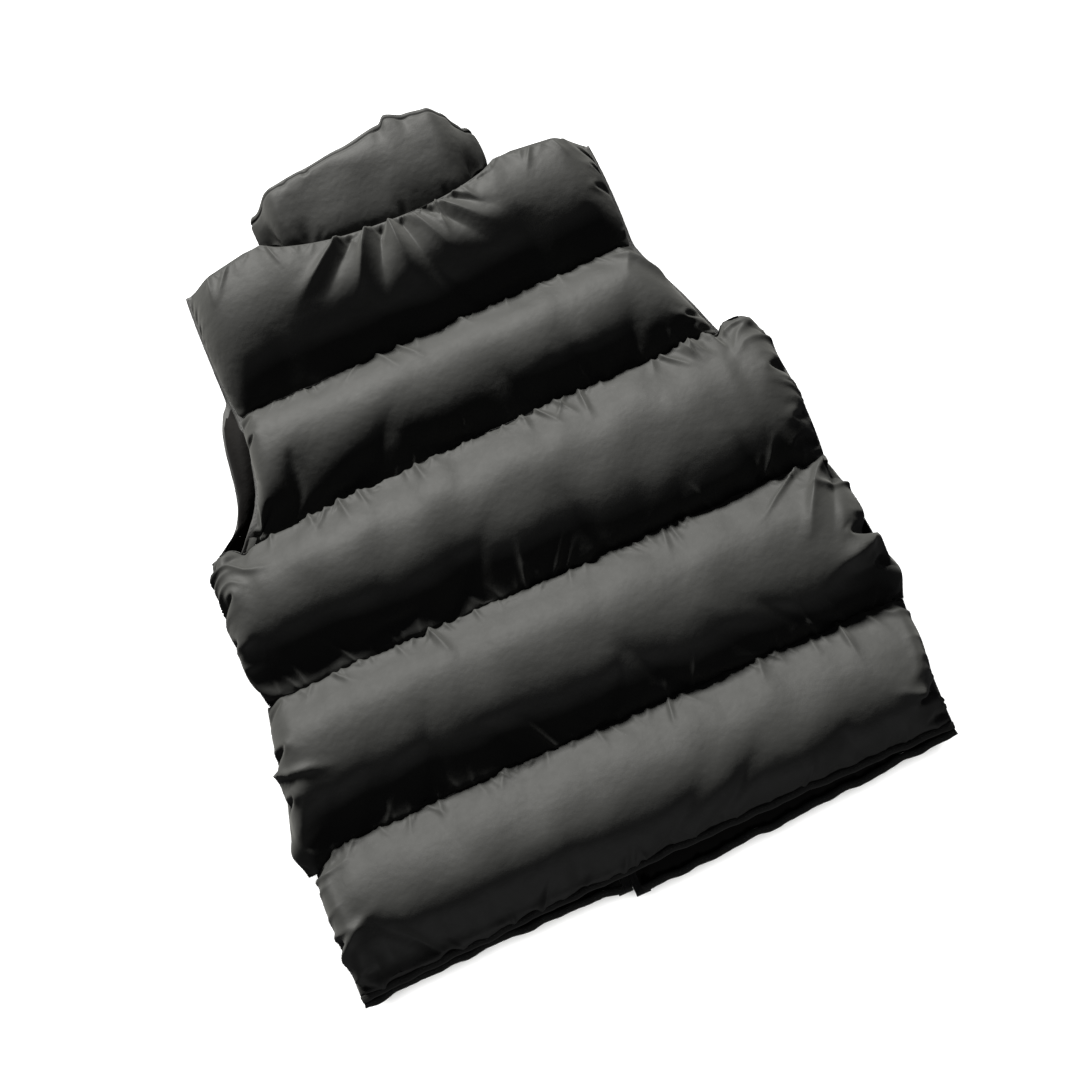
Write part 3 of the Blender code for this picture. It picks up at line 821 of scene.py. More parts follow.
    def slack(self, points: Array) -> tuple[Array, Array]:
        """Extra share of length that the cloth has at each point of the unfilled shell."""
        x, y = points[0], points[1]
        place = x + 0.5 * np.sign(points[2] - LAYER_Z)
        along = self.gather.at(place, y - y[0]) + self.gather.at(place + 0.3, y[-1] - y)
        clear = ease(np.minimum(np.abs(x - NECK_LEFT[0]), np.abs(x - NECK_RIGHT[0])) / self.fold_reach)
        return along * clear, Wander(self.seed, 0.01, (0.2, 0.11)).at(place) * clear

    def room(self, edge: Array) -> tuple[Array, Array]:
        """Lowest and highest point that the shell may reach, column by column."""
        columns = edge.shape[2]
        angle = self._at(np.linspace(0.0, 1.0, columns))[3]
        side = np.sign(np.round(np.sin(angle), 2))
        low, high = no_bounds(columns)
        low[1, 0] = edge[1, 0]
        low[2, 0] = np.where(side > 0.5, LAYER_Z + GAP / 2, REST_Z)
        high[2, 0] = np.where(side < -0.5, LAYER_Z - GAP / 2, self.highest_z)
        return low, high

    def creased(self, shell: Array) -> Array:
        """The filled shell with the groove of the seam under its upper edge."""
        way = way_down(shell)
        away = way[-1:] - way
        groove = self.groove_depth * np.exp(-(((away - self.groove_place) / self.groove_width) ** 2))
        angle = self._at(np.linspace(0.0, 1.0, shell.shape[2]))[3]
        return shell - np.stack([np.cos(angle), np.zeros_like(angle), np.sin(angle)])[:, None] * groove

    def unpressed(self, edge: Array) -> Array:
        """Height, column by column, that keeps the folds and the front free of the press."""
        height = self._at(np.linspace(0.0, 1.0, edge.shape[2]))[2]
        return self.free_fold * (1.0 - ease((height - LAYER_Z) / self.free_rise))


# --------------------------------------------------------------------------- cloth solver


@dataclass(frozen=True)
class ClothFeel:
    """How the shell behaves while it fills."""

    strain: float = 0.012        # stretch that the filling's push gives a mesh of the grid
    give: float = 0.35           # how much of a squeezed thread's shortening is taken back
    shear: float = 0.12          # how much of a slanted mesh's change is taken back
    stiffness: float = 0.0040
    keep: float = 0.975          # share of the speed that is kept from round to round
    bunching: float = 0.004      # over this width at a seam the gathers open
    headroom: float = 0.012      # the crests are pressed flat from this far over their height
    smoothing: float = 0.4       # share of the grid's roughness that is taken off at the end


class FillingShells:
    """Shells of several channels that fill together, as grids pinned round their edges."""

    def __init__(self, parts: Sequence[Channel | NeckBand], weave: Weave, feel: ClothFeel) -> None:
        """Cuts the shells and pins them.

        Args:
            parts: the channels.
            weave: the coarsest grid.
            feel: how the cloth behaves.
        """
        self.parts = list(parts)
        self.weave = weave
        self.feel = feel
        across, down = weave.shares()
        self.now = np.stack([part.shell(across, down) for part in self.parts], axis=1)
        self.now = self.now.astype(np.float32)
        self._cut()

    def _cut(self) -> None:
        """Works out the cut lengths, the pins and the room on the present grid."""
        across, down = self.weave.shares()
        pinned = np.stack([part.shell(across, down) for part in self.parts], axis=1)
        self.pinned = pinned.astype(np.float32)
        self.before = self.now.copy()
        self._pin()
        self.presses: list[tuple[int, PressedTop, Array, Array, Array]] = []
        wide, tall, slants, lows, highs, pushes = [], [], [], [], [], []
        for i, part in enumerate(self.parts):
            form = pinned[:, i]
            along, side = part.slack(form)
            wide.append(self._lengths(form, along))
            tall.append(self._lengths(form.transpose(0, 2, 1), side.T).T)
            slants.append(self._slants(form, 1.0 + (along + side) / 2.0))
            low, high = part.room(form)
            lows.append(low)
            highs.append(high)
            if part.top:
                free = part.top.dents(part.seed, form[0], form[1]) + part.unpressed(form)
                start, span = form[1, :1], form[1, -1:] - form[1, :1]
                self.presses.append((i, part.top, start, 1.0 / span, free))
            pushes.append(self._lumps(part, across, down) * part.outward)
        self.wide = np.stack(wide).astype(np.float32)
        self.tall = np.stack(tall).astype(np.float32)
        self.slants = np.stack(slants, axis=1).astype(np.float32)
        self.low = np.stack(lows, axis=1).astype(np.float32)
        self.high = np.stack(highs, axis=1).astype(np.float32)
        push = self.feel.strain / (8.0 * FILLED_RADIUS)
        self.push = (np.stack(pushes)[:, 1:-1, 1:-1] * push).astype(np.float32)

    def _lengths(self, form: Array, slack: Array) -> Array:
        """Lengths that the threads are cut to: the unfilled form's, with the gathers let in.

        Args:
            form: points, 3 by rows by columns.
            slack: extra share of length at each point.

        Returns:
            Length of each thread along its row.
        """
        plain = np.sqrt(((form[:, :, 1:] - form[:, :, :-1]) ** 2).sum(0))
        crossing = np.sqrt(((form[:, 1:] - form[:, :-1]) ** 2).sum(0)).mean()
        row = np.arange(form.shape[1])
        inward = np.minimum(row, form.shape[1] - 1 - row) * crossing
        opened = ease(inward / self.feel.bunching)[:, None]
        return plain * (1.0 + opened * (slack[:, 1:] + slack[:, :-1]) / 2.0)

    @staticmethod
    def _slants(form: Array, growth: Array) -> Array:
        """Lengths of both diagonals of every mesh of the grid."""
        falling = np.sqrt(((form[:, 1:, 1:] - form[:, :-1, :-1]) ** 2).sum(0))
        rising = np.sqrt(((form[:, :-1, 1:] - form[:, 1:, :-1]) ** 2).sum(0))
        return np.stack([falling, rising]) * growth[:-1, :-1]

    @staticmethod
    def _lumps(part: Channel | NeckBand, across: Array, down: Array) -> Array:
        """Unevenness of the filling's push over a shell."""
        drift = Wander(part.seed + 3, 0.16, (0.43, 0.23, 0.13)).at(across + 0.21 * down)
        return 1.0 + drift

    def _pin(self) -> None:
        """Puts the edges back on their seams."""
        self.now[:, :, 0], self.now[:, :, -1] = self.pinned[:, :, 0], self.pinned[:, :, -1]
        self.now[..., 0], self.now[..., -1] = self.pinned[..., 0], self.pinned[..., -1]

    @staticmethod
    def _pull(first: Array, second: Array, length: Array, firm: float, give: float) -> None:
        """Brings pairs of points to their length, in place.

        Args:
            first: first points.
            second: second points.
            length: length that each pair is cut to.
            firm: share of a stretched pair's error that is taken back.
            give: the same for a squeezed pair.
        """
        gap = second - first
        real = np.sqrt(gap[0] * gap[0] + gap[1] * gap[1] + gap[2] * gap[2])
        error = (real - length) / real
        error *= np.where(error > 0.0, 0.5 * firm, 0.5 * give)
        gap *= error
        first += gap
        second -= gap

    def _filling(self) -> Array:
        """Push of the filling along each inner point's normal."""
        x = self.now
        a = x[:, :, 1:-1, 2:] - x[:, :, 1:-1, :-2]
        b = x[:, :, 2:, 1:-1] - x[:, :, :-2, 1:-1]
        push = np.empty_like(a)
        push[0] = a[1] * b[2] - a[2] * b[1]
        push[1] = a[2] * b[0] - a[0] * b[2]
        push[2] = a[0] * b[1] - a[1] * b[0]
        return push * self.push

    def _round(self, headroom: float) -> None:
        """One round: drift, filling, stiffness, lengths and room."""
        feel, x = self.feel, self.now
        speed = (x - self.before) * feel.keep
        self.before = x.copy()
        x += speed
        x[:, :, 1:-1, 1:-1] += self._filling()
        for axis in (2, 3):
            ahead = np.moveaxis(x, axis, -1)
            curl = ahead[..., 2:] - 2.0 * ahead[..., 1:-1] + ahead[..., :-2]
            curl *= feel.stiffness
            ahead[..., 1:-1] += 2.0 * curl
            ahead[..., :-2] -= curl
            ahead[..., 2:] -= curl
        for s in (0, 1):
            self._pull(x[..., s:-1:2], x[..., s + 1 :: 2], self.wide[..., s::2], 1.0, feel.give)
        for s in (0, 1):
            upper, under = x[:, :, s:-1:2], x[:, :, s + 1 :: 2]
            self._pull(upper, under, self.tall[:, s::2], 1.0, feel.give)
        for s in (0, 1):
            upper, under = x[:, :, s:-1:2], x[:, :, s + 1 :: 2]
            falling, rising = self.slants[:, :, s::2]
            self._pull(upper[..., :-1], under[..., 1:], falling, feel.shear, feel.shear)
            self._pull(upper[..., 1:], under[..., :-1], rising, feel.shear, feel.shear)
        np.clip(x, self.low, self.high, out=x)
        for i, top, start, scale, free in self.presses:
            highest = top.height(x[0, i], (x[1, i] - start) * scale) + free + headroom
            np.minimum(x[2, i], highest, out=x[2, i], casting="unsafe")
        self._pin()

    def fill(self, rounds: int, headroom: float = 0.0) -> None:
        """Lets the shells fill.

        Args:
            rounds: number of rounds.
            headroom: height over the pressed tops at first, lost over half of the rounds.
        """
        for i in range(rounds):
            self._round(headroom * max(1.0 - 2.0 * i / rounds, 0.0))

    def refine(self) -> None:
        """Doubles the grid, with new points on smooth curves through the old ones."""
        x = self.now
        for axis in (2, 3):
            x = np.moveaxis(x, axis, -1)
            padded = np.concatenate(
                [2 * x[..., :1] - x[..., 1:2], x, 2 * x[..., -1:] - x[..., -2:-1]], axis=-1
            )
            between = 9.0 * (x[..., 1:] + x[..., :-1]) - padded[..., :-3] - padded[..., 3:]
            finer = np.empty((*x.shape[:-1], 2 * x.shape[-1] - 1), x.dtype)
            finer[..., ::2], finer[..., 1::2] = x, between / 16.0
            x = np.moveaxis(finer, -1, axis)
        self.now = np.ascontiguousarray(x)
        self.weave = self.weave.finer()
        self._cut()

    def smooth(self) -> None:
        """Takes the grid's own roughness off the inner points."""
        x = self.now
        around = x[:, :, :-2, 1:-1] + x[:, :, 2:, 1:-1] + x[:, :, 1:-1, :-2] + x[:, :, 1:-1, 2:]
        x[:, :, 1:-1, 1:-1] += self.feel.smoothing * (around / 4.0 - x[:, :, 1:-1, 1:-1])


# --------------------------------------------------------------------------- meshes


def add_piece(
    name: str, points: Array, faces: Sequence[Sequence[int]], material: bpy.types.Material
) -> bpy.types.Object:
    """Adds a mesh object with smooth faces.

    Args:
        name: the piece's name.
        points: its points, count by 3.
        faces: its faces, as point numbers.
        material: its finish.

    Returns:
        The new object.
    """
    mesh = bpy.data.meshes.new(name)
    mesh.from_pydata(points.tolist(), [], [list(map(int, face)) for face in faces])
    mesh.shade_smooth()
    mesh.materials.append(material)
    piece = bpy.data.objects.new(name, mesh)
    bpy.context.scene.collection.objects.link(piece)
    return piece


def lay_cloth(piece: bpy.types.Object, cloth: Array) -> None:
    """Gives each point its place on the flat cloth, in metres, as the piece's UV map."""
    layer = piece.data.uv_layers.new(name="cloth")
    corners = np.empty(len(piece.data.loops), np.int32)
    piece.data.loops.foreach_get("vertex_index", corners)
    layer.data.foreach_set("uv", cloth[corners].astype(np.float32).ravel())


def grid_faces(rows: int, columns: int, start: int, turned: bool) -> Array:
    """Faces of a grid of points that starts at a point number."""
    corner = (np.arange(rows - 1)[:, None] * columns + np.arange(columns - 1)[None, :]).ravel()
    faces = np.stack([corner, corner + columns, corner + columns + 1, corner + 1], axis=1) + start
    return faces[:, ::-1] if turned else faces


def tube_faces(rings: int, sides: int) -> list[list[int]]:
    """Faces of a closed tube of rings of points, with both its ends."""
    faces = []
    for r in range(rings - 1):
        for s in range(sides):
            low, beside = r * sides + s, r * sides + (s + 1) % sides
            faces.append([low, beside, beside + sides, low + sides])
    last = (rings - 1) * sides
    return [*faces, list(range(sides))[::-1], list(range(last, last + sides))]


@dataclass
class Pillow:
    """Closed mesh of one channel: a fine shell, and a lining that shares the shell's edges."""

    part: Channel | NeckBand
    shell: Array
    lining_rows: int = 7
    wall_rows: int = 6
    fine_share: float = 1.0      # share of the shell, from its upper seam, that keeps every row

    def __post_init__(self) -> None:
        """Leaves out every second row of the plainer share of the shell."""
        count = self.shell.shape[1]
        fine = 2 * round(self.fine_share * count / 2)
        kept = [*range(fine), *range(fine, count, 2)] if fine < count else range(count)
        self.kept = np.array(kept)
        self.shell = self.shell[:, self.kept]

    def build(
        self, material: bpy.types.Material, inside: bpy.types.Material | None
    ) -> bpy.types.Object:
        """Makes the piece.

        Args:
            material: the shell's finish.
            inside: the lining's finish, where it shows.

        Returns:
            The new object.
        """
        rows, columns = self.shell.shape[1:]
        across = np.linspace(0.0, 1.0, columns)[None, 1:-1]
        picked = np.linspace(0, rows - 1, self.lining_rows).round().astype(int)[1:-1]
        steps = np.linspace(0.0, 1.0, self.wall_rows + 1)[1:] if self.part.wall_above else []
        lines = [(-float(step), 0) for step in steps]
        lines += [(float(self.kept[row] / self.kept[-1]), int(row)) for row in picked]
        steps = np.linspace(1.0, 0.0, self.wall_rows + 1)[:-1] if self.part.wall_below else []
        lines += [(1.0 + float(step), rows - 1) for step in steps]
        down = np.array([line[0] for line in lines])[:, None]
        lining = self.part.lining(*np.broadcast_arrays(across, down))
        points = np.concatenate([self.shell.reshape(3, -1), lining.reshape(3, -1)], axis=1).T
        turned = self.part.outward > 0.0
        faces: list[Sequence[int]] = list(grid_faces(rows, columns, 0, turned))
        outer = len(faces)
        faces += self._lining_faces(rows, columns, [line[1] for line in lines], turned)
        piece = add_piece(self.part.name, points, faces, material)
        middle = self.shell[:, rows // 2], self.shell[:, :, columns // 2]
        width, height = (float(np.linalg.norm(np.diff(line, axis=1), axis=0).sum()) for line in middle)
        wide, tall = np.meshgrid(np.linspace(0.0, width, columns), height * self.kept / self.kept[-1])
        shell_cloth = np.stack([wide, tall], axis=-1).reshape(-1, 2)
        back_wide, back_tall = np.meshgrid(np.linspace(0.0, width, columns)[1:-1], height * down[:, 0])
        back_cloth = np.stack([back_wide, back_tall], axis=-1).reshape(-1, 2)
        lay_cloth(piece, np.concatenate([shell_cloth, back_cloth]))
        if inside:
            piece.data.materials.append(inside)
            piece.data.polygons.foreach_set("material_index", [i >= outer for i in range(len(faces))])
        return piece

    @staticmethod
    def _lining_faces(
        rows: int, columns: int, beside: Sequence[int], turned: bool
    ) -> list[list[int]]:
        """Faces of the lining, line by line, joined to the shell's edges.

        Args:
            rows: rows of the shell.
            columns: columns of the shell.
            beside: the shell's row that each line of the lining ends at.
            turned: whether the faces are wound the other way.

        Returns:
            Faces, as point numbers.
        """
        inner = columns - 2
        last = (rows - 1) * columns
        lines = [list(range(columns))]
        for i, row in enumerate(beside):
            first = rows * columns + i * inner
            lines.append([row * columns, *range(first, first + inner), row * columns + columns - 1])
        lines.append(list(range(last, last + columns)))
        ends = [0, *beside, rows - 1]
        faces = []
        for i, (near, far) in enumerate(zip(lines, lines[1:])):
            between = range(ends[i] + 1, ends[i + 1])
            left = [row * columns for row in between]
            right = [row * columns + columns - 1 for row in between]
            edge_left = [near[0], near[1], far[1], far[0], *left[::-1]]
            edge_right = [near[-2], near[-1], *right, far[-1], far[-2]]
            faces += [list(dict.fromkeys(edge_left)), list(dict.fromkeys(edge_right))]
            faces += [[near[j], near[j + 1], far[j + 1], far[j]] for j in range(1, columns - 2)]
        return [face[::-1] for face in faces] if turned else faces


@dataclass
class Strip:
    """Soft strip of cloth along a path, with a rounded oblong section."""

    path: Array                  # count by 3
    across: tuple[float, float, float]    # over the strip, so that its face looks up
    width: float
    thickness: float
    sides: int = 12
    roundness: float = 0.6
    seed: int = 0
    ripple: float = 0.0

    def __post_init__(self) -> None:
        """Works out the directions along the path, over it and out of its face."""
        along = np.gradient(self.path, axis=0)
        along /= np.linalg.norm(along, axis=1)[:, None]
        over = np.array(self.across)[None, :]
        over = over - (over * along).sum(1)[:, None] * along
        self.over = over / np.linalg.norm(over, axis=1)[:, None]
        self.face = np.cross(along, self.over)
        self.way = way_along(self.path)
        self.path = self.path + self.face * self._ripples(0)[:, None]

    def _ripples(self, shift: int) -> Array:
        """Small unevenness along the path."""
        return Wander(self.seed + shift, self.ripple, (0.019, 0.0115, 0.0073)).at(self.way)

    def line(self, share: float) -> Array:
        """Line along the strip's face, at a share of its half width."""
        height = self.thickness / 2 * (1.0 - abs(share) ** 3) ** 0.5
        return self.path + self.over * share * self.width / 2 + self.face * height

    def shape(self) -> tuple[Array, list[list[int]], Array]:
        """Points, faces and places on the flat cloth."""
        turn = np.linspace(0.0, 2.0 * math.pi, self.sides, endpoint=False)
        wide = np.sign(np.cos(turn)) * np.abs(np.cos(turn)) ** self.roundness / 2
        high = np.sign(np.sin(turn)) * np.abs(np.sin(turn)) ** self.roundness / 2
        widths = (self.width + self._ripples(1))[:, None, None]
        thicknesses = (self.thickness + 0.5 * self._ripples(2))[:, None, None]
        rings = self.path[:, None, :] + self.over[:, None, :] * wide[None, :, None] * widths
        rings = rings + self.face[:, None, :] * high[None, :, None] * thicknesses
        cloth = np.stack(np.meshgrid(self.way, turn * self.width / 3, indexing="ij"), axis=-1)
        return rings.reshape(-1, 3), tube_faces(len(self.path), self.sides), cloth.reshape(-1, 2)

    @property
    def cut(self) -> tuple[float, float]:
        """Width and length that the strip is stated with, never under the narrowest cut."""
        return max(1.05 * (self.width + self.thickness), NARROWEST_CUT), float(self.way[-1])


def add_strips(
    name: str, strips: Sequence[Strip], material: bpy.types.Material
) -> bpy.types.Object:
    """Makes one piece of several strips.

    Args:
        name: the piece's name.
        strips: the strips.
        material: their finish.

    Returns:
        The new object.
    """
    points, faces, cloth, start = [], [], [], 0
    for strip in strips:
        strip_points, strip_faces, strip_cloth = strip.shape()
        points.append(strip_points)
        cloth.append(strip_cloth)
        faces += [[start + corner for corner in face] for face in strip_faces]
        start += len(strip_points)
    piece = add_piece(name, np.concatenate(points), faces, material)
    lay_cloth(piece, np.concatenate(cloth))
    return piece


def even_path(points: Array, step: float, smoothing: int = 2) -> Array:
    """Path through points at even steps, with its corners rounded.

    Args:
        points: count by 3.
        step: distance between the new points.
        smoothing: how many times neighbours are averaged.

    Returns:
        The new path, count by 3.
    """
    way = way_along(points)
    places = np.linspace(0.0, way[-1], max(int(way[-1] / step), 2) + 1)
    path = np.stack([np.interp(places, way, points[:, k]) for k in range(3)], axis=1)
    for _ in range(smoothing):
        path[1:-1] = (path[:-2] + 2.0 * path[1:-1] + path[2:]) / 4.0
    return path


@dataclass(frozen=True)
class Stitching:
    """Row of lock stitches along a line."""

    length: float = 0.0026
    space: float = 0.0008
    radius: float = 0.00028
    sink: float = 0.00036
    sides: int = 5
    profile: tuple[tuple[float, float], ...] = ((0.0, 0.3), (0.2, 0.95), (0.8, 0.95), (1.0, 0.3))

    def build(
        self, name: str, lines: Sequence[Array], material: bpy.types.Material
    ) -> bpy.types.Object:
        """Makes all the stitches of several lines as one piece.

        Args:
            name: the piece's name.
            lines: paths of points, each count by 3.
            material: the thread.

        Returns:
            The new object.
        """
        ends = np.concatenate([self._ends(line) for line in lines])
        along = ends[:, 1] - ends[:, 0]
        along /= np.linalg.norm(along, axis=1)[:, None]
        side = np.cross(along, (0.0, 0.0, 1.0))
        side /= np.linalg.norm(side, axis=1)[:, None]
        up = np.cross(side, along)
        turn = np.linspace(0.0, 2.0 * math.pi, self.sides, endpoint=False)
        ring = side[:, None, :] * np.cos(turn)[:, None] + up[:, None, :] * np.sin(turn)[:, None]
        rings = []
        for share, swell in self.profile:
            middle = blend(ends[:, 0], ends[:, 1], share) - up * self.sink * (2.0 * share - 1.0) ** 2
            rings.append(middle[:, None, :] + ring * self.radius * swell)
        points = np.stack(rings, axis=1)
        count = len(self.profile) * self.sides
        one = tube_faces(len(self.profile), self.sides)
        faces = [[i * count + c for c in face] for i in range(len(ends)) for face in one]
        return add_piece(name, points.reshape(-1, 3), faces, material)

    def _ends(self, line: Array) -> Array:
        """Both ends of every stitch on a line, as count by 2 by 3."""
        way = way_along(line)
        starts = np.arange(self.space, way[-1] - self.length, self.length + self.space)
        places = np.stack([starts, starts + self.length], axis=1)
        return np.stack([np.interp(places, way, line[:, k]) for k in range(3)], axis=-1)


@dataclass(frozen=True)
class ZipCoil:
    """Two rows of nylon coil whose loops mesh, seen from either face."""

    pitch: float = 0.0016
    low_y: float = -0.3400
    high_y: float = 0.2690
    middle_z: float = 0.02225
    height: float = 0.0020
    # outline of a loop, as distances past the zip's middle and half widths along it
    outline: tuple[tuple[float, float], ...] = (
        (-0.00105, 0.00018),
        (-0.00090, 0.00037),
        (-0.00050, 0.00037),
        (0.00010, 0.00032),
        (0.00240, 0.00034),
        (0.00270, 0.00020),
    )
    # rings up the loop's height: place and size, both as shares
    rings: tuple[tuple[float, float], ...] = ((-0.5, 0.82), (-0.36, 1.0), (0.36, 1.0), (0.5, 0.82))

    def build(self, name: str, material: bpy.types.Material) -> bpy.types.Object:
        """Makes all the loops as one piece."""
        half = np.array(self.outline)
        loop = np.concatenate([half, half[::-1] * (1.0, -1.0)])
        middle = loop.mean(0)
        levels = []
        for lift, shrink in self.rings:
            ring = middle + (loop - middle) * shrink
            levels.append(np.column_stack([ring, np.full(len(ring), lift * self.height)]))
        turn = np.array(levels)
        count = turn.shape[0] * turn.shape[1]
        one = tube_faces(*turn.shape[:2])
        points, faces = [], []
        for i, y in enumerate(np.arange(self.low_y, self.high_y, self.pitch / 2)):
            outward = 1.0 if i % 2 else -1.0
            placed = turn * (outward, 1.0, 1.0) + (ZIP_X, y, self.middle_z)
            points.append(placed.reshape(-1, 3))
            turned = [face if outward > 0 else face[::-1] for face in one]
            faces += [[i * count + c for c in face] for face in turned]
        return add_piece(name, np.concatenate(points), faces, material)


# --------------------------------------------------------------------------- finishes


@dataclass(frozen=True)
class Value:
    """A number socket of a finish, which takes part in arithmetic."""

    nodes: FinishNodes
    socket: bpy.types.NodeSocket

    def _maths(self, operation: str, *terms: Value | float) -> Value:
        """Adds the Math node of an operation on this value and other terms."""
        inputs = dict(enumerate([self, *terms]))
        return self.nodes.value("ShaderNodeMath", {"operation": operation}, inputs, 0)

    def __add__(self, other: Value | float) -> Value:
        """Sum."""
        return self._maths("ADD", other)

    def __sub__(self, other: Value | float) -> Value:
        """Difference."""
        return self._maths("SUBTRACT", other)

    def __mul__(self, other: Value | float) -> Value:
        """Product."""
        return self._maths("MULTIPLY", other)

    def sine(self) -> Value:
        """Sine of this value."""
        return self._maths("SINE")

    def there_and_back(self, span: float) -> Value:
        """This value, folded to rise and fall between 0 and a span."""
        return self._maths("PINGPONG", span)

    def held(self) -> Value:
        """This value, held between 0 and 1."""
        node = self.nodes.add("ShaderNodeClamp", {}, {0: self})
        return Value(self.nodes, node.outputs[0])


class FinishNodes:
    """The nodes of one material, with its shader."""

    def __init__(self, name: str) -> None:
        """Starts a material with a Principled shader and an output."""
        self.material = bpy.data.materials.new(name)
        self.material.use_nodes = True
        self.tree = self.material.node_tree
        self.tree.nodes.clear()
        self.shader = self.add("ShaderNodeBsdfPrincipled", {}, {})
        self.add("ShaderNodeOutputMaterial", {}, {"Surface": self.shader.outputs[0]})

    def _give(self, socket: bpy.types.NodeSocket, given: object) -> None:
        """Sets a socket to a number or a colour, or links a value or a socket to it."""
        source = given.socket if isinstance(given, Value) else given
        if isinstance(source, bpy.types.NodeSocket):
            self.tree.links.new(source, socket)
        else:
            socket.default_value = source

    def add(self, kind: str, settings: Settings, inputs: Inputs) -> bpy.types.Node:
        """Adds one node.

        Args:
            kind: the node's type.
            settings: its settings, set before its sockets.
            inputs: a value, a Value or a socket for each input named.

        Returns:
            The new node.
        """
        node = self.tree.nodes.new(kind)
        for setting, choice in settings.items():
            setattr(node, setting, choice)
        for key, given in inputs.items():
            self._give(node.inputs[key], given)
        return node

    def value(self, kind: str, settings: Settings, inputs: Inputs, output: int | str) -> Value:
        """Adds one node and gives the value of one of its outputs."""
        return Value(self, self.add(kind, settings, inputs).outputs[output])

    def cloth_place(self, scale: tuple[float, float, float]) -> bpy.types.NodeSocket:
        """Place on the flat cloth, scaled."""
        flat = self.add("ShaderNodeUVMap", {"uv_map": "cloth"}, {})
        return self.stretched(flat.outputs[0], scale)

    def object_place(self) -> bpy.types.NodeSocket:
        """Place in the vest's own frame."""
        return self.add("ShaderNodeTexCoord", {}, {}).outputs["Object"]

    def noise(self, place: bpy.types.NodeSocket, scale: float, detail: float = 3.0) -> Value:
        """Soft noise between 0 and 1 at a place."""
        inputs = {"Vector": place, "Scale": scale, "Detail": detail, "Roughness": 0.55}
        return self.value("ShaderNodeTexNoise", {}, inputs, 0)

    def weave(self, pitch: float) -> Value:
        """Plain weave of a thread pitch in metres: warp and weft that pass over each other."""
        turns = 1.0 / (2.0 * pitch)
        flat = self.cloth_place((turns, turns, 0.0))
        parts = self.add("ShaderNodeSeparateXYZ", {}, {0: flat})
        full = 2.0 * math.pi
        warp = (Value(self, parts.outputs[0]) * full).sine()
        weft = (Value(self, parts.outputs[1]) * full).sine()
        return warp * weft * 0.5 + 0.5

    def stretched(
        self, place: bpy.types.NodeSocket, scale: tuple[float, float, float]
    ) -> bpy.types.NodeSocket:
        """A place, scaled along each axis."""
        settings = {"operation": "MULTIPLY"}
        return self.add("ShaderNodeVectorMath", settings, {0: place, 1: scale}).outputs[0]

    def _flat(self) -> tuple[Value, Value]:
        """Both coordinates on the flat cloth, in metres."""
        parts = self.add("ShaderNodeSeparateXYZ", {}, {0: self.cloth_place((1.0, 1.0, 0.0))})
        return Value(self, parts.outputs[0]), Value(self, parts.outputs[1])

    def ribs(self, pitch: float) -> Value:
        """Ribs across the flat cloth's length, between 0 and 1."""
        along, _ = self._flat()
        return (along * (2.0 * math.pi / pitch)).sine() * 0.5 + 0.5

    def herringbone(self, pitch: float, band: float) -> Value:
        """Slanted ribs that turn at every band over the cloth, between 0 and 1."""
        along, over = self._flat()
        lean = over.there_and_back(band)
        return ((along + lean) * (2.0 * math.pi / pitch)).sine() * 0.5 + 0.5

    def mixed(
        self, share: Value, low: tuple[float, ...], high: tuple[float, ...]
    ) -> bpy.types.NodeSocket:
        """Colour between two others."""
        settings = {"data_type": "RGBA"}
        inputs = {0: share, 6: (*low, 1.0), 7: (*high, 1.0)}
        return self.add("ShaderNodeMix", settings, inputs).outputs[2]

    def bumped(
        self, height: Value, distance: float, under: bpy.types.NodeSocket | None = None
    ) -> bpy.types.NodeSocket:
        """Normal of a surface with a height of up to a distance in metres."""
        inputs: Inputs = {"Strength": 1.0, "Distance": distance, "Height": height}
        if under is not None:
            inputs["Normal"] = under
        return self.add("ShaderNodeBump", {}, inputs).outputs[0]

    def dress(self, inputs: dict[str, object]) -> bpy.types.Material:
        """Sets or links the shader's own sockets, and gives the material."""
        for key, given in inputs.items():
            self._give(self.shader.inputs[key], given)
        return self.material


@dataclass(frozen=True)
class SatinNylon:
    """Black down-proof nylon with a satin face."""

    name: str = "satin_nylon"
    dark: tuple[float, float, float] = (0.020, 0.0205, 0.0195)
    light: tuple[float, float, float] = (0.027, 0.0275, 0.0262)
    roughness: float = 0.62
    thread_pitch: float = 0.00028

    def build(self) -> bpy.types.Material:
        """Makes the material."""
        nodes = FinishNodes(self.name)
        place = nodes.object_place()
        clouds = nodes.noise(place, 9.0)
        crinkle = nodes.noise(place, 170.0, 4.0)
        rumple = nodes.noise(place, 55.0, 2.0)
        weave = nodes.weave(self.thread_pitch)
        normal = nodes.bumped(rumple, 0.0007)
        normal = nodes.bumped(crinkle, 0.00022, normal)
        normal = nodes.bumped(weave, 0.00002, normal)
        return nodes.dress(
            {
                "Base Color": nodes.mixed((clouds * 1.6 - 0.3).held(), self.dark, self.light),
                "Roughness": (clouds * 0.10 + crinkle * 0.08 + (self.roughness - 0.09)).held(),
                "Normal": normal,
                "Specular IOR Level": 0.24,
                "Sheen Weight": 0.16,
                "Sheen Roughness": 0.60,
                "Sheen Tint": (0.88, 0.88, 0.84, 1.0),
            }
        )


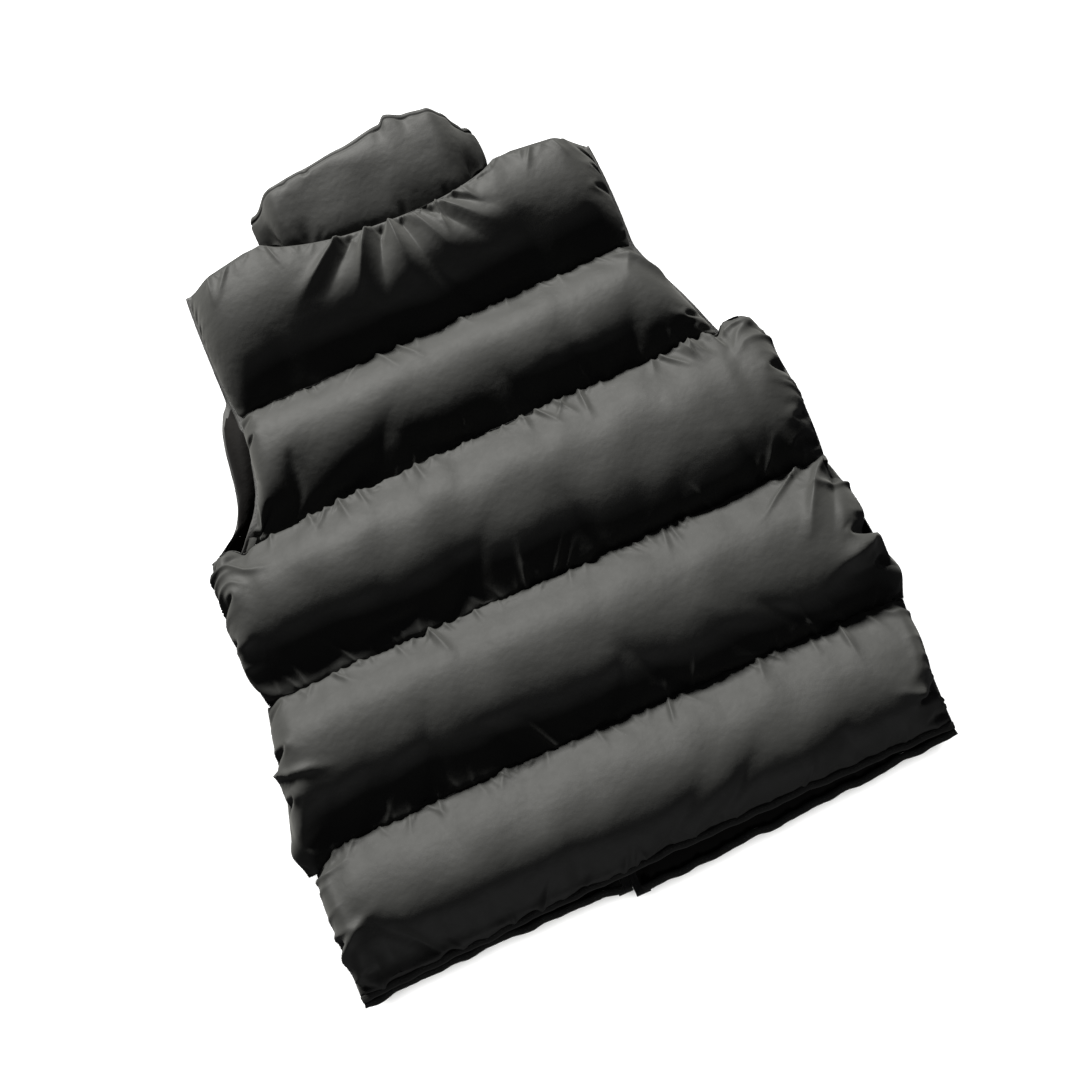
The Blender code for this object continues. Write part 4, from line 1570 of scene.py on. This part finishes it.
@dataclass(frozen=True)
class LiningPaintedShade:
    """Thin matte taffeta that lines the fronts, its colour set near black to paint the shade that falls on
    it where it shows, as at the left armhole.
    """

    name: str = "matte_lining"
    # near black, far under the lining's own colour: painted shade
    dark: tuple[float, float, float] = (0.0022, 0.0019, 0.0017)
    light: tuple[float, float, float] = (0.0042, 0.0036, 0.0032)
    thread_pitch: float = 0.00024

    def build(self) -> bpy.types.Material:
        """Makes the material."""
        nodes = FinishNodes(self.name)
        clouds = nodes.noise(nodes.object_place(), 24.0)
        creases = nodes.noise(nodes.object_place(), 90.0, 3.0)
        weave = nodes.weave(self.thread_pitch)
        return nodes.dress(
            {
                "Base Color": nodes.mixed((clouds * 1.6 - 0.3).held(), self.dark, self.light),
                "Roughness": (clouds * 0.12 + 0.74).held(),
                "Normal": nodes.bumped(weave, 0.00002, nodes.bumped(creases, 0.0009)),
                "Specular IOR Level": 0.10,
                "Sheen Weight": 0.02,
            }
        )


@dataclass(frozen=True)
class RibbedBinding:
    """Narrow ribbed tape that binds the armholes."""

    name: str = "ribbed_binding"
    dark: tuple[float, float, float] = (0.020, 0.020, 0.019)
    light: tuple[float, float, float] = (0.040, 0.040, 0.038)
    rib: float = 0.0011

    def build(self) -> bpy.types.Material:
        """Makes the material."""
        nodes = FinishNodes(self.name)
        ribs = nodes.ribs(self.rib)
        clouds = nodes.noise(nodes.object_place(), 60.0)
        shade = (ribs * 0.6 + clouds * 0.5 - 0.1).held()
        return nodes.dress(
            {
                "Base Color": nodes.mixed(shade, self.dark, self.light),
                "Roughness": (clouds * 0.2 + 0.55).held(),
                "Normal": nodes.bumped(ribs, 0.00012),
                "Sheen Weight": 0.15,
            }
        )


@dataclass(frozen=True)
class ZipTape:
    """Woven zip tape with a herringbone face."""

    name: str = "zip_tape_weave"
    dark: tuple[float, float, float] = (0.011, 0.011, 0.012)
    light: tuple[float, float, float] = (0.026, 0.026, 0.027)

    def build(self) -> bpy.types.Material:
        """Makes the material."""
        nodes = FinishNodes(self.name)
        bone = nodes.herringbone(0.0009, 0.0032)
        fuzz = nodes.noise(nodes.object_place(), 1400.0)
        return nodes.dress(
            {
                "Base Color": nodes.mixed((bone * 0.7 + fuzz * 0.3).held(), self.dark, self.light),
                "Roughness": (fuzz * 0.15 + 0.70).held(),
                "Normal": nodes.bumped(bone + fuzz * 0.3, 0.00010),
                "Sheen Weight": 0.20,
            }
        )


@dataclass(frozen=True)
class ZipBlack:
    """Black nylon or enamel, paler where it is handled."""

    name: str
    dark: tuple[float, float, float]
    worn: tuple[float, float, float]
    roughness: float
    coat: float

    def build(self) -> bpy.types.Material:
        """Makes the material."""
        nodes = FinishNodes(self.name)
        place = nodes.object_place()
        wear = (nodes.noise(place, 420.0, 4.0) * 3.2 - 1.35).held()
        scratches = nodes.noise(nodes.stretched(place, (1.0, 0.08, 1.0)), 2600.0, 2.0)
        return nodes.dress(
            {
                "Base Color": nodes.mixed(wear, self.dark, self.worn),
                "Coat Weight": self.coat,
                "Roughness": (scratches * 0.16 + wear * -0.08 + self.roughness).held(),
                "Normal": nodes.bumped(scratches, 0.00002),
            }
        )


@dataclass(frozen=True)
class Thread:
    """Twisted polyester thread."""

    name: str = "thread"
    colour: tuple[float, float, float] = (0.030, 0.031, 0.031)

    def build(self) -> bpy.types.Material:
        """Makes the material."""
        nodes = FinishNodes(self.name)
        fuzz = nodes.noise(nodes.object_place(), 2600.0, 2.0)
        lighter = tuple(1.8 * part for part in self.colour)
        return nodes.dress(
            {
                "Base Color": nodes.mixed(fuzz, self.colour, lighter),
                "Roughness": (fuzz * 0.2 + 0.5).held(),
                "Normal": nodes.bumped(fuzz, 0.00006),
            }
        )


# --------------------------------------------------------------------------- studio


@dataclass(frozen=True)
class SoftBox:
    """Area light that looks at the vest from an azimuth and an elevation."""

    name: str
    azimuth: float               # degrees from +Y towards +X
    elevation: float
    distance: float
    width: float
    height: float
    power: float
    colour: tuple[float, float, float] = (1.0, 1.0, 1.0)

    def build(self, aim: Array) -> bpy.types.Object:
        """Sets the light up."""
        turn, lift = math.radians(self.azimuth), math.radians(self.elevation)
        away = np.array(
            [math.sin(turn) * math.cos(lift), math.cos(turn) * math.cos(lift), math.sin(lift)]
        )
        light = bpy.data.lights.new(self.name, "AREA")
        light.shape, light.size, light.size_y = "RECTANGLE", self.width, self.height
        light.energy, light.color = self.power, self.colour
        lamp = bpy.data.objects.new(self.name, light)
        bpy.context.scene.collection.objects.link(lamp)
        level = np.cross((0.0, 0.0, 1.0), away)
        level /= np.linalg.norm(level)
        axes = np.eye(4)
        axes[:3, 0], axes[:3, 1], axes[:3, 2] = level, np.cross(away, level), away
        axes[:3, 3] = aim + away * self.distance
        lamp.matrix_world = Matrix(axes.tolist())
        return lamp


@dataclass(frozen=True)
class Studio:
    """Camera, floor and lights."""

    aim: tuple[float, float, float] = (0.011, -0.054, 0.045)
    distance: float = 1.5
    tilt: float = math.radians(15.0)
    roll: float = math.radians(24.0)
    lens: float = 60.6
    floor_half: float = 6.0
    world: float = 0.040
    key: SoftBox = SoftBox("key_light", -5.0, 26.0, 9.0, 4.0, 1.3, 2150.0, (1.0, 0.99, 0.955))
    fill: SoftBox = SoftBox("fill_light", 185.0, 8.0, 4.0, 2.5, 0.5, 24.0)
    top: SoftBox = SoftBox("top_light", 0.0, 88.0, 3.0, 3.0, 3.0, 290.0)

    def build(self) -> None:
        """Sets everything up."""
        self._camera()
        floor = self._floor()
        for box, state in ((self.key, "EXCLUDE"), (self.fill, "EXCLUDE"), (self.top, "INCLUDE")):
            lamp = box.build(np.array(self.aim))
            ground = bpy.data.collections.new(f"{box.name}_ground")
            ground.objects.link(floor)
            ground.collection_objects[0].light_linking.link_state = state
            lamp.light_linking.receiver_collection = ground
        scene = bpy.context.scene
        scene.world = bpy.data.worlds.new("studio")
        scene.world.use_nodes = True
        background = scene.world.node_tree.nodes["Background"]
        background.inputs["Color"].default_value = (self.world, self.world, self.world * 1.06, 1.0)
        scene.view_settings.view_transform = "Standard"
        scene.view_settings.look = "None"

    def _camera(self) -> None:
        """Camera over the vest, tilted from the hem's side and rolled."""
        lift = np.array([0.0, math.cos(self.tilt), math.sin(self.tilt)])
        back = np.array([0.0, -math.sin(self.tilt), math.cos(self.tilt)])
        level = np.array([1.0, 0.0, 0.0])
        turn, other = math.cos(self.roll), math.sin(self.roll)
        axes = np.eye(4)
        axes[:3, 0], axes[:3, 1] = turn * level - other * lift, other * level + turn * lift
        axes[:3, 2] = back
        axes[:3, 3] = np.array(self.aim) + back * self.distance
        data = bpy.data.cameras.new("camera")
        data.lens, data.sensor_width = self.lens, 36.0
        camera = bpy.data.objects.new("camera", data)
        bpy.context.scene.collection.objects.link(camera)
        camera.matrix_world = Matrix(axes.tolist())
        bpy.context.scene.camera = camera

    def _floor(self) -> bpy.types.Object:
        """Pale, slightly uneven floor."""
        nodes = FinishNodes("pale_floor")
        clouds = nodes.noise(nodes.object_place(), 3.0)
        material = nodes.dress(
            {
                "Base Color": nodes.mixed(clouds, (0.83, 0.83, 0.82), (0.86, 0.86, 0.855)),
                "Roughness": (clouds * 0.1 + 0.75).held(),
            }
        )
        half = self.floor_half
        corners = np.array([[-half, -half, 0.0], [half, -half, 0.0], [half, half, 0.0], [-half, half, 0.0]])
        floor = add_piece("floor", corners, [(0, 1, 2, 3)], material)
        floor.visible_diffuse = floor.visible_glossy = False
        return floor


# --------------------------------------------------------------------------- the vest


@dataclass
class VestPattern:
    """Tables of the vest's seams and channels."""

    # for each seam of the back: y at the left, the middle and the right, then x at both ends
    seam_ys: tuple[tuple[float, ...], ...] = (
        (0.153, 0.153, 0.153, -0.183, 0.189),
        (0.038, 0.048, 0.046, -0.223, 0.219),
        (-0.089, -0.089, -0.089, -0.248, 0.252),
        (-0.220, -0.218, -0.220, -0.262, 0.2585),
        (-0.338, -0.330, -0.330, -0.2645, 0.250),
    )
    # x at the left edge's top and foot, the same at the right edge, their powers and the crown
    back_rows: tuple[tuple[float, ...], ...] = (
        (-0.185, -0.183, 0.188, 0.185, 1.0, 1.0, 0.0190),
        (-0.183, -0.223, 0.185, 0.219, 4.0, 1.2, 0.026),
        (-0.250, -0.248, 0.249, 0.252, 1.0, 1.0, 0.033),
        (-0.250, -0.2680, 0.252, 0.2585, 1.8, 1.0, 0.034),
        (-0.262, -0.2645, 0.2585, 0.250, 1.0, 1.0, 0.0375),
    )
    # for each front: y at the side, y at the zip, sag and x of the side
    left_seams: tuple[tuple[float, ...], ...] = (
        (0.178, 0.150, 0.000, -0.205),
        (0.0440, 0.048, 0.000, -0.250),
        (-0.089, -0.092, 0.000, -0.248),
        (-0.220, -0.222, 0.000, -0.263),
        (-0.338, -0.336, -0.003, -0.2645),
    )
    right_seams: tuple[tuple[float, ...], ...] = (
        (0.165, 0.150, 0.000, 0.175),
        (0.0462, 0.048, 0.000, 0.219),
        (-0.089, -0.092, 0.000, 0.252),
        (-0.220, -0.224, 0.000, 0.2585),
        (-0.330, -0.344, 0.001, 0.250),
    )
    # x at the top and foot of each front channel's side, its power and its swell
    left_front: tuple[tuple[float, ...], ...] = (
        (-0.185, -0.188, 1.0, 0.001),
        (-0.191, -0.2500, 5.0, 0.014),
        (-0.250, -0.248, 1.0, 0.007),
        (-0.250, -0.263, 1.8, 0.006),
        (-0.262, -0.2645, 1.0, 0.000),
    )
    right_front: tuple[tuple[float, ...], ...] = (
        (0.187, 0.186, 1.0, 0.001),
        (0.186, 0.2205, 1.2, 0.002),
        (0.249, 0.252, 1.0, 0.007),
        (0.252, 0.2585, 1.0, 0.007),
        (0.2585, 0.250, 1.0, -0.002),
    )
    tops: tuple[PressedTop, ...] = (
        PressedTop(
            (0.0, 0.08, 0.20, 0.35, 0.45, 0.53, 0.60, 0.70, 0.80, 0.90, 1.0),
            (0.0738, 0.0785, 0.0825, 0.0838, 0.0818, 0.0778, 0.0735, 0.0668, 0.0600, 0.0532, 0.0455),
            lean=-0.02,
        ),
        PressedTop(raised=-0.0055, skew=0.3),
        PressedTop(skew=0.8),
        PressedTop(raised=0.0010, skew=0.35),
        PressedTop(
            (0.0, 0.05, 0.12, 0.20, 0.28, 0.37, 0.48, 0.57, 0.65, 0.72, 0.79, 0.85, 0.92, 1.0),
            (
                0.0520, 0.0558, 0.0615, 0.0674, 0.0722, 0.0762, 0.0796,
                0.0810, 0.0812, 0.0800, 0.0770, 0.0724, 0.0640, 0.0510,
            ),
            skew=0.45,
        ),
    )
    hooks: tuple[float, ...] = (0.0, 0.0, 0.0, 0.011)
    # how far each channel of the back swells out past its seams, left and right
    bulges: tuple[tuple[float, float], ...] = (
        (0.002, 0.002),
        (0.002, 0.002),
        (0.007, 0.007),
        (0.007, 0.007),
        (0.001, -0.001),
    )
    front_crown: float = 0.026
    front_lining: float = 0.018
    hem_lip: float = 0.0045
    yoke_seam_z: float = 0.0450
    back_hem_z: float = 0.0420
    front_hem_z: float = 0.0345
    hem_wave: float = 0.0012
    bare_armhole: float = 0.026
    # cloth gathered into the seams and the ends, the latter less in the two upper channels
    seam_gather: Gather = Gather(0, 0.005, 0.030, 0.012)
    end_gather: Gather = Gather(0, 0.100, 0.070, 0.026)
    upper_end_share: float = 0.040
    front_gather: Gather = Gather(0, 0.030, 0.030, 0.030)
    front_end_gather: Gather = Gather(0, 0.080, 0.050, 0.026)
    yoke_room: float = 0.004     # how far the yoke may fill past its upper edge
    hem_room: float = 0.008      # how far the last channels may fill past the hem
    tucks: Tucks = Tucks(0, 0.0135, 0.020, 0.0026, 0.0030, 0.75)
    nips: Tucks = Tucks(0, 0.0062, 0.0085, 0.0016, 0.0014, 0.9)
    tongues: Tucks = Tucks(0, 0.052, 0.060, 0.0120, -0.0055, 1.1)
    side_tucks: Tucks = Tucks(0, 0.017, 0.026, 0.0036, 0.0040, 0.6)
    front_tucks: Tucks = Tucks(0, 0.0200, 0.030, 0.0042, 0.0034, 0.75)
    neck_folds: tuple[Fold, ...] = (
        Fold(-0.038, -0.92, 0.058, 0.0050, -0.0066, 0.008),
        Fold(-0.027, -0.75, 0.062, 0.0070, 0.0052, 0.008),
        Fold(-0.014, -0.49, 0.056, 0.0046, -0.0088, 0.008),
        Fold(-0.004, -0.30, 0.066, 0.0062, 0.0070, 0.008),
        Fold(0.004, 0.02, 0.058, 0.0046, -0.0064, 0.008),
        Fold(0.013, 0.15, 0.068, 0.0060, 0.0058, 0.008),
        Fold(0.022, 0.45, 0.052, 0.0050, -0.0052, 0.008),
        Fold(0.036, 0.65, 0.056, 0.0060, 0.0048, 0.008),
        Fold(0.046, 0.80, 0.046, 0.0050, -0.0044, 0.008),
        Fold(0.057, 0.90, 0.042, 0.0052, 0.0034, 0.008),
    )
    # folds by channel that run to the right end, first from the upper seam, then from the end
    end_folds: tuple[tuple[Fold, ...], ...] = (
        (),
        (
            Fold(0.154, 0.90, 0.088, 0.0050, -0.0060, 0.030),
            Fold(0.164, 0.90, 0.090, 0.0036, 0.0050, 0.030),
        ),
        (
            Fold(0.183, 0.30, 0.032, 0.0028, -0.0050, 0.003, 1.4),
            Fold(0.193, -0.20, 0.028, 0.0030, -0.0056, 0.003, 1.4),
            Fold(0.203, 0.45, 0.032, 0.0030, -0.0050, 0.003, 1.4),
        ),
        (
            Fold(0.232, -1.20, 0.040, 0.0030, -0.0045, 0.004, 1.4),
            Fold(0.249, -0.55, 0.070, 0.0044, -0.0085, 0.006, 1.5),
            Fold(0.262, -0.45, 0.080, 0.0062, 0.0055, 0.006),
        ),
        (),
    )
    side_folds: tuple[tuple[Fold, ...], ...] = (
        (),
        (),
        (),
        (
            Fold(0.096, 0.30, 0.056, 0.0062, -0.0062, 0.004, 1.5),
            Fold(0.118, 0.10, 0.050, 0.0070, 0.0050, 0.004),
        ),
        (),
    )
    # lumps by channel of the back's edges, left and right
    lumps: tuple[tuple[tuple[tuple[float, float, float], ...], ...], ...] = (
        ((), ()),
        ((), ()),
        ((), ()),
        (((0.84, 0.10, 0.008),), ((0.53, 0.07, -0.010), (0.83, 0.11, 0.006))),
        ((), ()),
    )

    def _back_seam(self, number: int) -> SewnLine:
        """Seam under a channel of the back, or the back's upper edge for 0."""
        if number == 0:
            return BackTop()
        row = self.seam_ys[number - 1]
        if number < len(self.seam_ys):
            low = self.yoke_seam_z if number == 1 else BACK_SEAM_Z
            return BackSeam(*row, seed=20 + number, middle_z=low, hook=self.hooks[number - 1])
        raised = tuple(y + self.hem_lip for y in row[:3])
        return BackSeam(*raised, *row[3:], seed=20 + number, middle_z=self.back_hem_z)

    def back(self) -> list[Channel]:
        """The five channels of the back, from the collar to the hem."""
        channels = []
        for i, row in enumerate(self.back_rows):
            left_top, left_foot, right_top, right_foot, left_power, right_power, crown = row
            left_bulge, right_bulge = self.bulges[i]
            left_lumps, right_lumps = self.lumps[i]
            end_share = self.upper_end_share if i < 2 else self.end_gather.share
            channels.append(
                Channel(
                    f"back_channel_{i + 1}",
                    ArmholeFoot(self._back_seam(i)) if i == 2 else self._back_seam(i),
                    self._back_seam(i + 1),
                    SideEdge(left_top, left_foot, -1.0, left_power, left_bulge, lumps=left_lumps),
                    SideEdge(right_top, right_foot, 1.0, right_power, right_bulge, lumps=right_lumps),
                    crown,
                    Facing.UP,
                    replace(self.seam_gather, seed=131 + i),
                    replace(self.seam_gather, seed=151 + i),
                    replace(self.end_gather, seed=171 + i, share=end_share),
                    seed=101 + 7 * i,
                    free_above=self.yoke_room if i == 0 else 0.0,
                    wall_above=i == 0,
                    free_below=self.hem_room if i == 4 else 0.0,
                    top=self.tops[i],
                    folds=self.neck_folds if i == 0 else (),
                    end_folds=self.end_folds[i],
                    side_folds=self.side_folds[i],
                    upper_tucks=(replace(self.tucks, seed=501 + i), replace(self.nips, seed=521 + i)),
                    lower_tucks=(
                        *((replace(self.tucks, seed=541 + i),) if i else ()),
                        replace(self.tongues, seed=581 + i),
                    ),
                    left_tucks=(replace(self.side_tucks, seed=601 + i),) if i > 1 else (),
                    right_tucks=(replace(self.side_tucks, seed=621 + i),) if i > 1 else (),
                )
            )
        return channels

    def front(self, left: bool) -> list[Channel]:
        """The five channels of one front, from the neck to the hem."""
        seams = self.left_seams if left else self.right_seams
        edges = self.left_front if left else self.right_front
        top = FrontTop(NECK_LEFT, SHOULDER_LEFT) if left else FrontTop(NECK_RIGHT, SHOULDER_RIGHT)
        hem = FrontSeam(*seams[-1], self.front_hem_z, self.hem_wave)
        lines = [top, *(FrontSeam(*row) for row in seams[:-1]), hem]
        side = -1.0 if left else 1.0
        opening_x = ZIP_X + side * FRONT_EDGE
        opening = SideEdge(opening_x, opening_x, -side, reach=0.030, margin=TAPE_MARGIN)
        shell_seed, crease_seed = (301, 701) if left else (401, 801)
        channels = []
        for i, (x_top, x_foot, power, bulge) in enumerate(edges):
            outside = SideEdge(x_top, x_foot, side, power, bulge)
            ends = (outside, opening) if left else (opening, outside)
            channels.append(
                Channel(
                    f"front_{'left' if left else 'right'}_channel_{i + 1}",
                    lines[i],
                    lines[i + 1],
                    *ends,
                    self.front_crown,
                    Facing.DOWN,
                    replace(self.front_gather, seed=231 + i),
                    replace(self.front_gather, seed=251 + i),
                    replace(self.front_end_gather, seed=271 + i),
                    seed=shell_seed + 7 * i,
                    upper_tucks=(replace(self.front_tucks, seed=crease_seed + i),) if i else (),
                    lower_tucks=(replace(self.front_tucks, seed=crease_seed + 40 + i),) if i < 4 else (),
                    lining_depth=self.front_lining,
                    bare_left=self.bare_armhole if left and i < 2 else 0.0,
                    free_below=self.hem_room if i == 4 else 0.0,
                )
            )
        return channels


@dataclass(frozen=True)
class Filling:
    """How some channels are filled together."""

    weave: Weave                 # the coarsest grid
    rounds: tuple[int, ...]      # rounds of filling on each grid, from coarse to fine
    fine_share: float = 1.0      # share of each shell that keeps every row of the last grid


BACK_FILLING = Filling(Weave(39, 131), (400, 300, 160), 0.36)
FRONT_FILLING = Filling(Weave(27, 47), (1200, 200))
COLLAR_FILLING = Filling(Weave(19, 109), (300, 200, 120))
FILL_SHARE = 0.7              # how full of down the channels are


def keep(piece: bpy.types.Object, slot: str, *nodes: str, fill: float | None = None) -> None:
    """Lets a piece ride on the vest and hides the CAD nodes that it stands for.

    Args:
        piece: the piece.
        slot: not used.
        nodes: the CAD nodes that it stands for.
        fill: not used.
    """
    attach(piece, "vest")
    if nodes:
        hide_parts(*nodes)
    log.info("%s: %d faces", piece.name, len(piece.data.polygons))


class Vest:
    """Builds and dresses the whole vest."""

    def __init__(self, feel: ClothFeel) -> None:
        """Makes the finishes that the pieces share."""
        self.feel = feel
        self.nylon = SatinNylon().build()
        self.thread = Thread().build()
        # the lining's finish is darkened to paint the shade that falls on it where it shows
        self.lining = LiningPaintedShade().build()
        self.binding = RibbedBinding().build()

    def build_channels(
        self, parts: Sequence[Channel | NeckBand], nodes: Sequence[str], filling: Filling
    ) -> list[Array]:
        """Fills several channels together and makes their pieces.

        Args:
            parts: the channels.
            nodes: the CAD node that each one stands for.
            filling: how they are filled.

        Returns:
            The filled shells.
        """
        shells = FillingShells(parts, filling.weave, self.feel)
        for i, count in enumerate(filling.rounds):
            if i:
                shells.refine()
            shells.fill(count, 0.0 if i else self.feel.headroom)
        shells.smooth()
        filled = [part.creased(shells.now[:, i].astype(float)) for i, part in enumerate(parts)]
        for part, shell, node in zip(parts, filled, nodes):
            pillow = Pillow(part, shell, fine_share=filling.fine_share)
            inside = self.lining if part.facing is Facing.DOWN else None
            keep(pillow.build(self.nylon, inside), "shell", node, fill=FILL_SHARE)
        return filled

    def bind_armhole(self, side: str, back: Sequence[Array], front: Sequence[Array]) -> None:
        """Makes one armhole's binding, along the back's edge and the front's.

        Args:
            side: left or right.
            back: the two upper channels of the back.
            front: the two upper channels of that front.
        """
        edge = 0 if side == "left" else -1
        strips = []
        for i, (shells, drop) in enumerate(((back, -0.0002), (front, 0.0004))):
            points = np.concatenate([shell[:, :, edge].T for shell in shells])
            inward = BINDING_INSET if side == "left" else -BINDING_INSET
            path = even_path(points, STRIP_STEP, 6) + (inward, 0.0, -drop)
            strips.append(Strip(path, (1.0, 0.0, 0.0), *BINDING, seed=61 + i, ripple=0.0002))
        piece = add_strips(f"bound_armhole_{side}", strips, self.binding)
        length = sum(strip.cut[1] for strip in strips)
        keep(piece, "binding", f"armhole_binding_{side}")
        strips[0].cut[0]
        lines = [strips[0].line(-BINDING_ROW if side == "left" else BINDING_ROW)]
        keep(Stitching().build(f"armhole_stitches_{side}", lines, self.thread), "binding")

    def finish_hem(self, name: str, shell: Array, seed: int) -> None:
        """Makes the narrow sewn edge under the last channel, with its stitches.

        Args:
            name: back, front_left or front_right.
            shell: the last channel.
            seed: chooses the edge's unevenness.
        """
        path = even_path(shell[:, -1].T, STRIP_STEP, 3) + HEM_PLACE
        edge = Strip(path, (0.0, 1.0, 0.20), *HEM_EDGE, seed=seed, ripple=0.00035)
        piece = add_strips(f"hem_edge_{name}", [edge], self.nylon)
        keep(piece, "shell")
        edge.cut
        stitches = Stitching().build(f"hem_stitches_{name}", [edge.line(0.1)], self.thread)
        keep(stitches, "shell")

    def ridge_seams(self, shells: Sequence[Array]) -> None:
        """Makes the narrow ridges that stand in the back's seams, with their stitches."""
        ridges, rows = [], []
        for i, shell in enumerate(shells[1:]):
            seam = shell[:, 0, RIDGE_ENDS:-RIDGE_ENDS]
            path = even_path(seam.T, STRIP_STEP, 2) + RIDGE_PLACE
            ridge = Strip(path, (0.0, 0.0, 1.0), *SEAM_RIDGE, sides=8, seed=81 + i, ripple=0.0002)
            ridges.append(ridge)
            rows.append(path + RIDGE_ROW)
        piece = add_strips("back_seam_ridges", ridges, self.nylon)
        keep(piece, "shell")
        length = sum(ridge.cut[1] for ridge in ridges)
        ridges[0].cut[0]
        keep(Stitching().build("back_seam_stitches", rows, self.thread), "shell")


@dataclass
class FrontZip:
    """The closed zip between the fronts, on the side that the vest lies on."""

    tape_width: float = 0.0124
    tape_thickness: float = 0.0010
    tape_z: float = 0.0241
    tape_feet: tuple[float, float] = (-0.3430, -0.3490)
    tape_top: float = 0.2860
    middle_gap: float = 0.0002
    step: float = 0.004
    coil: ZipCoil = ZipCoil()
    bevel: float = 0.0003

    def build(self, thread: bpy.types.Material) -> None:
        """Makes the tapes, the coil and the enamelled parts' finish."""
        weave = ZipTape().build()
        for side, outward, foot in zip(("left", "right"), (-1.0, 1.0), self.tape_feet):
            ys = np.arange(foot, self.tape_top, self.step)
            middle = ZIP_X + outward * (self.middle_gap + self.tape_width / 2)
            path = np.column_stack([np.full_like(ys, middle), ys, np.full_like(ys, self.tape_z)])
            size = (self.tape_width, self.tape_thickness)
            tape = Strip(
                path, (-1.0, 0.0, 0.0), *size, sides=16, roundness=0.35, seed=91, ripple=0.00012
            )
            piece = add_strips(f"woven_zip_tape_{side}", [tape], weave)
            keep(piece, "zip_tape", f"zip_tape_{side}")
            tape.cut
            rows = [tape.line(share) for share in (-0.25, 0.55)]
            stitches = Stitching().build(f"zip_tape_stitches_{side}", rows, thread)
            keep(stitches, "zip_tape")
        nylon = ZipBlack("zip_nylon", (0.018, 0.018, 0.019), (0.030, 0.030, 0.031), 0.42, 0.0)
        piece = self.coil.build("nylon_zip_coil", nylon.build())
        keep(piece, "zip_coil", "zip_chain")
        enamel = ZipBlack("zip_enamel", (0.026, 0.026, 0.028), (0.060, 0.060, 0.062), 0.30, 0.4)
        black = enamel.build()
        for node in ("zip_slider", "zip_pull"):
            part = bpy.data.objects[node]
            for slot in part.material_slots:
                slot.material = black
            rounding = part.modifiers.new("rounded_edges", "BEVEL")
            rounding.width, rounding.segments = self.bevel, 2
            rounding.limit_method = "ANGLE"
            log.info("%s: enamel finish and rounded edges", node)


def main() -> None:
    """Builds everything in order."""
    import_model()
    Studio().build()
    pattern, vest = VestPattern(), Vest(ClothFeel())
    names = [f"back_baffle_{i}" for i in range(1, 6)]
    back = vest.build_channels(pattern.back(), names, BACK_FILLING)
    fronts = pattern.front(True) + pattern.front(False)
    names = [f"front_{side}_baffle_{i}" for side in ("left", "right") for i in range(1, 6)]
    shells = vest.build_channels(fronts, names, FRONT_FILLING)
    left, right = shells[:5], shells[5:]
    vest.bind_armhole("left", back[:2], left[:2])
    vest.bind_armhole("right", back[:2], right[:2])
    hems = {"back": back[-1], "front_left": left[-1], "front_right": right[-1]}
    for i, (name, last) in enumerate(hems.items()):
        vest.finish_hem(name, last, 201 + 10 * i)
    vest.ridge_seams(back)
    FrontZip().build(vest.thread)
    vest.build_channels([NeckBand()], ["collar"], COLLAR_FILLING)


if __name__ == "__main__":
    logging.basicConfig(level=logging.INFO, format="%(name)s: %(message)s", stream=sys.stdout)
    main()
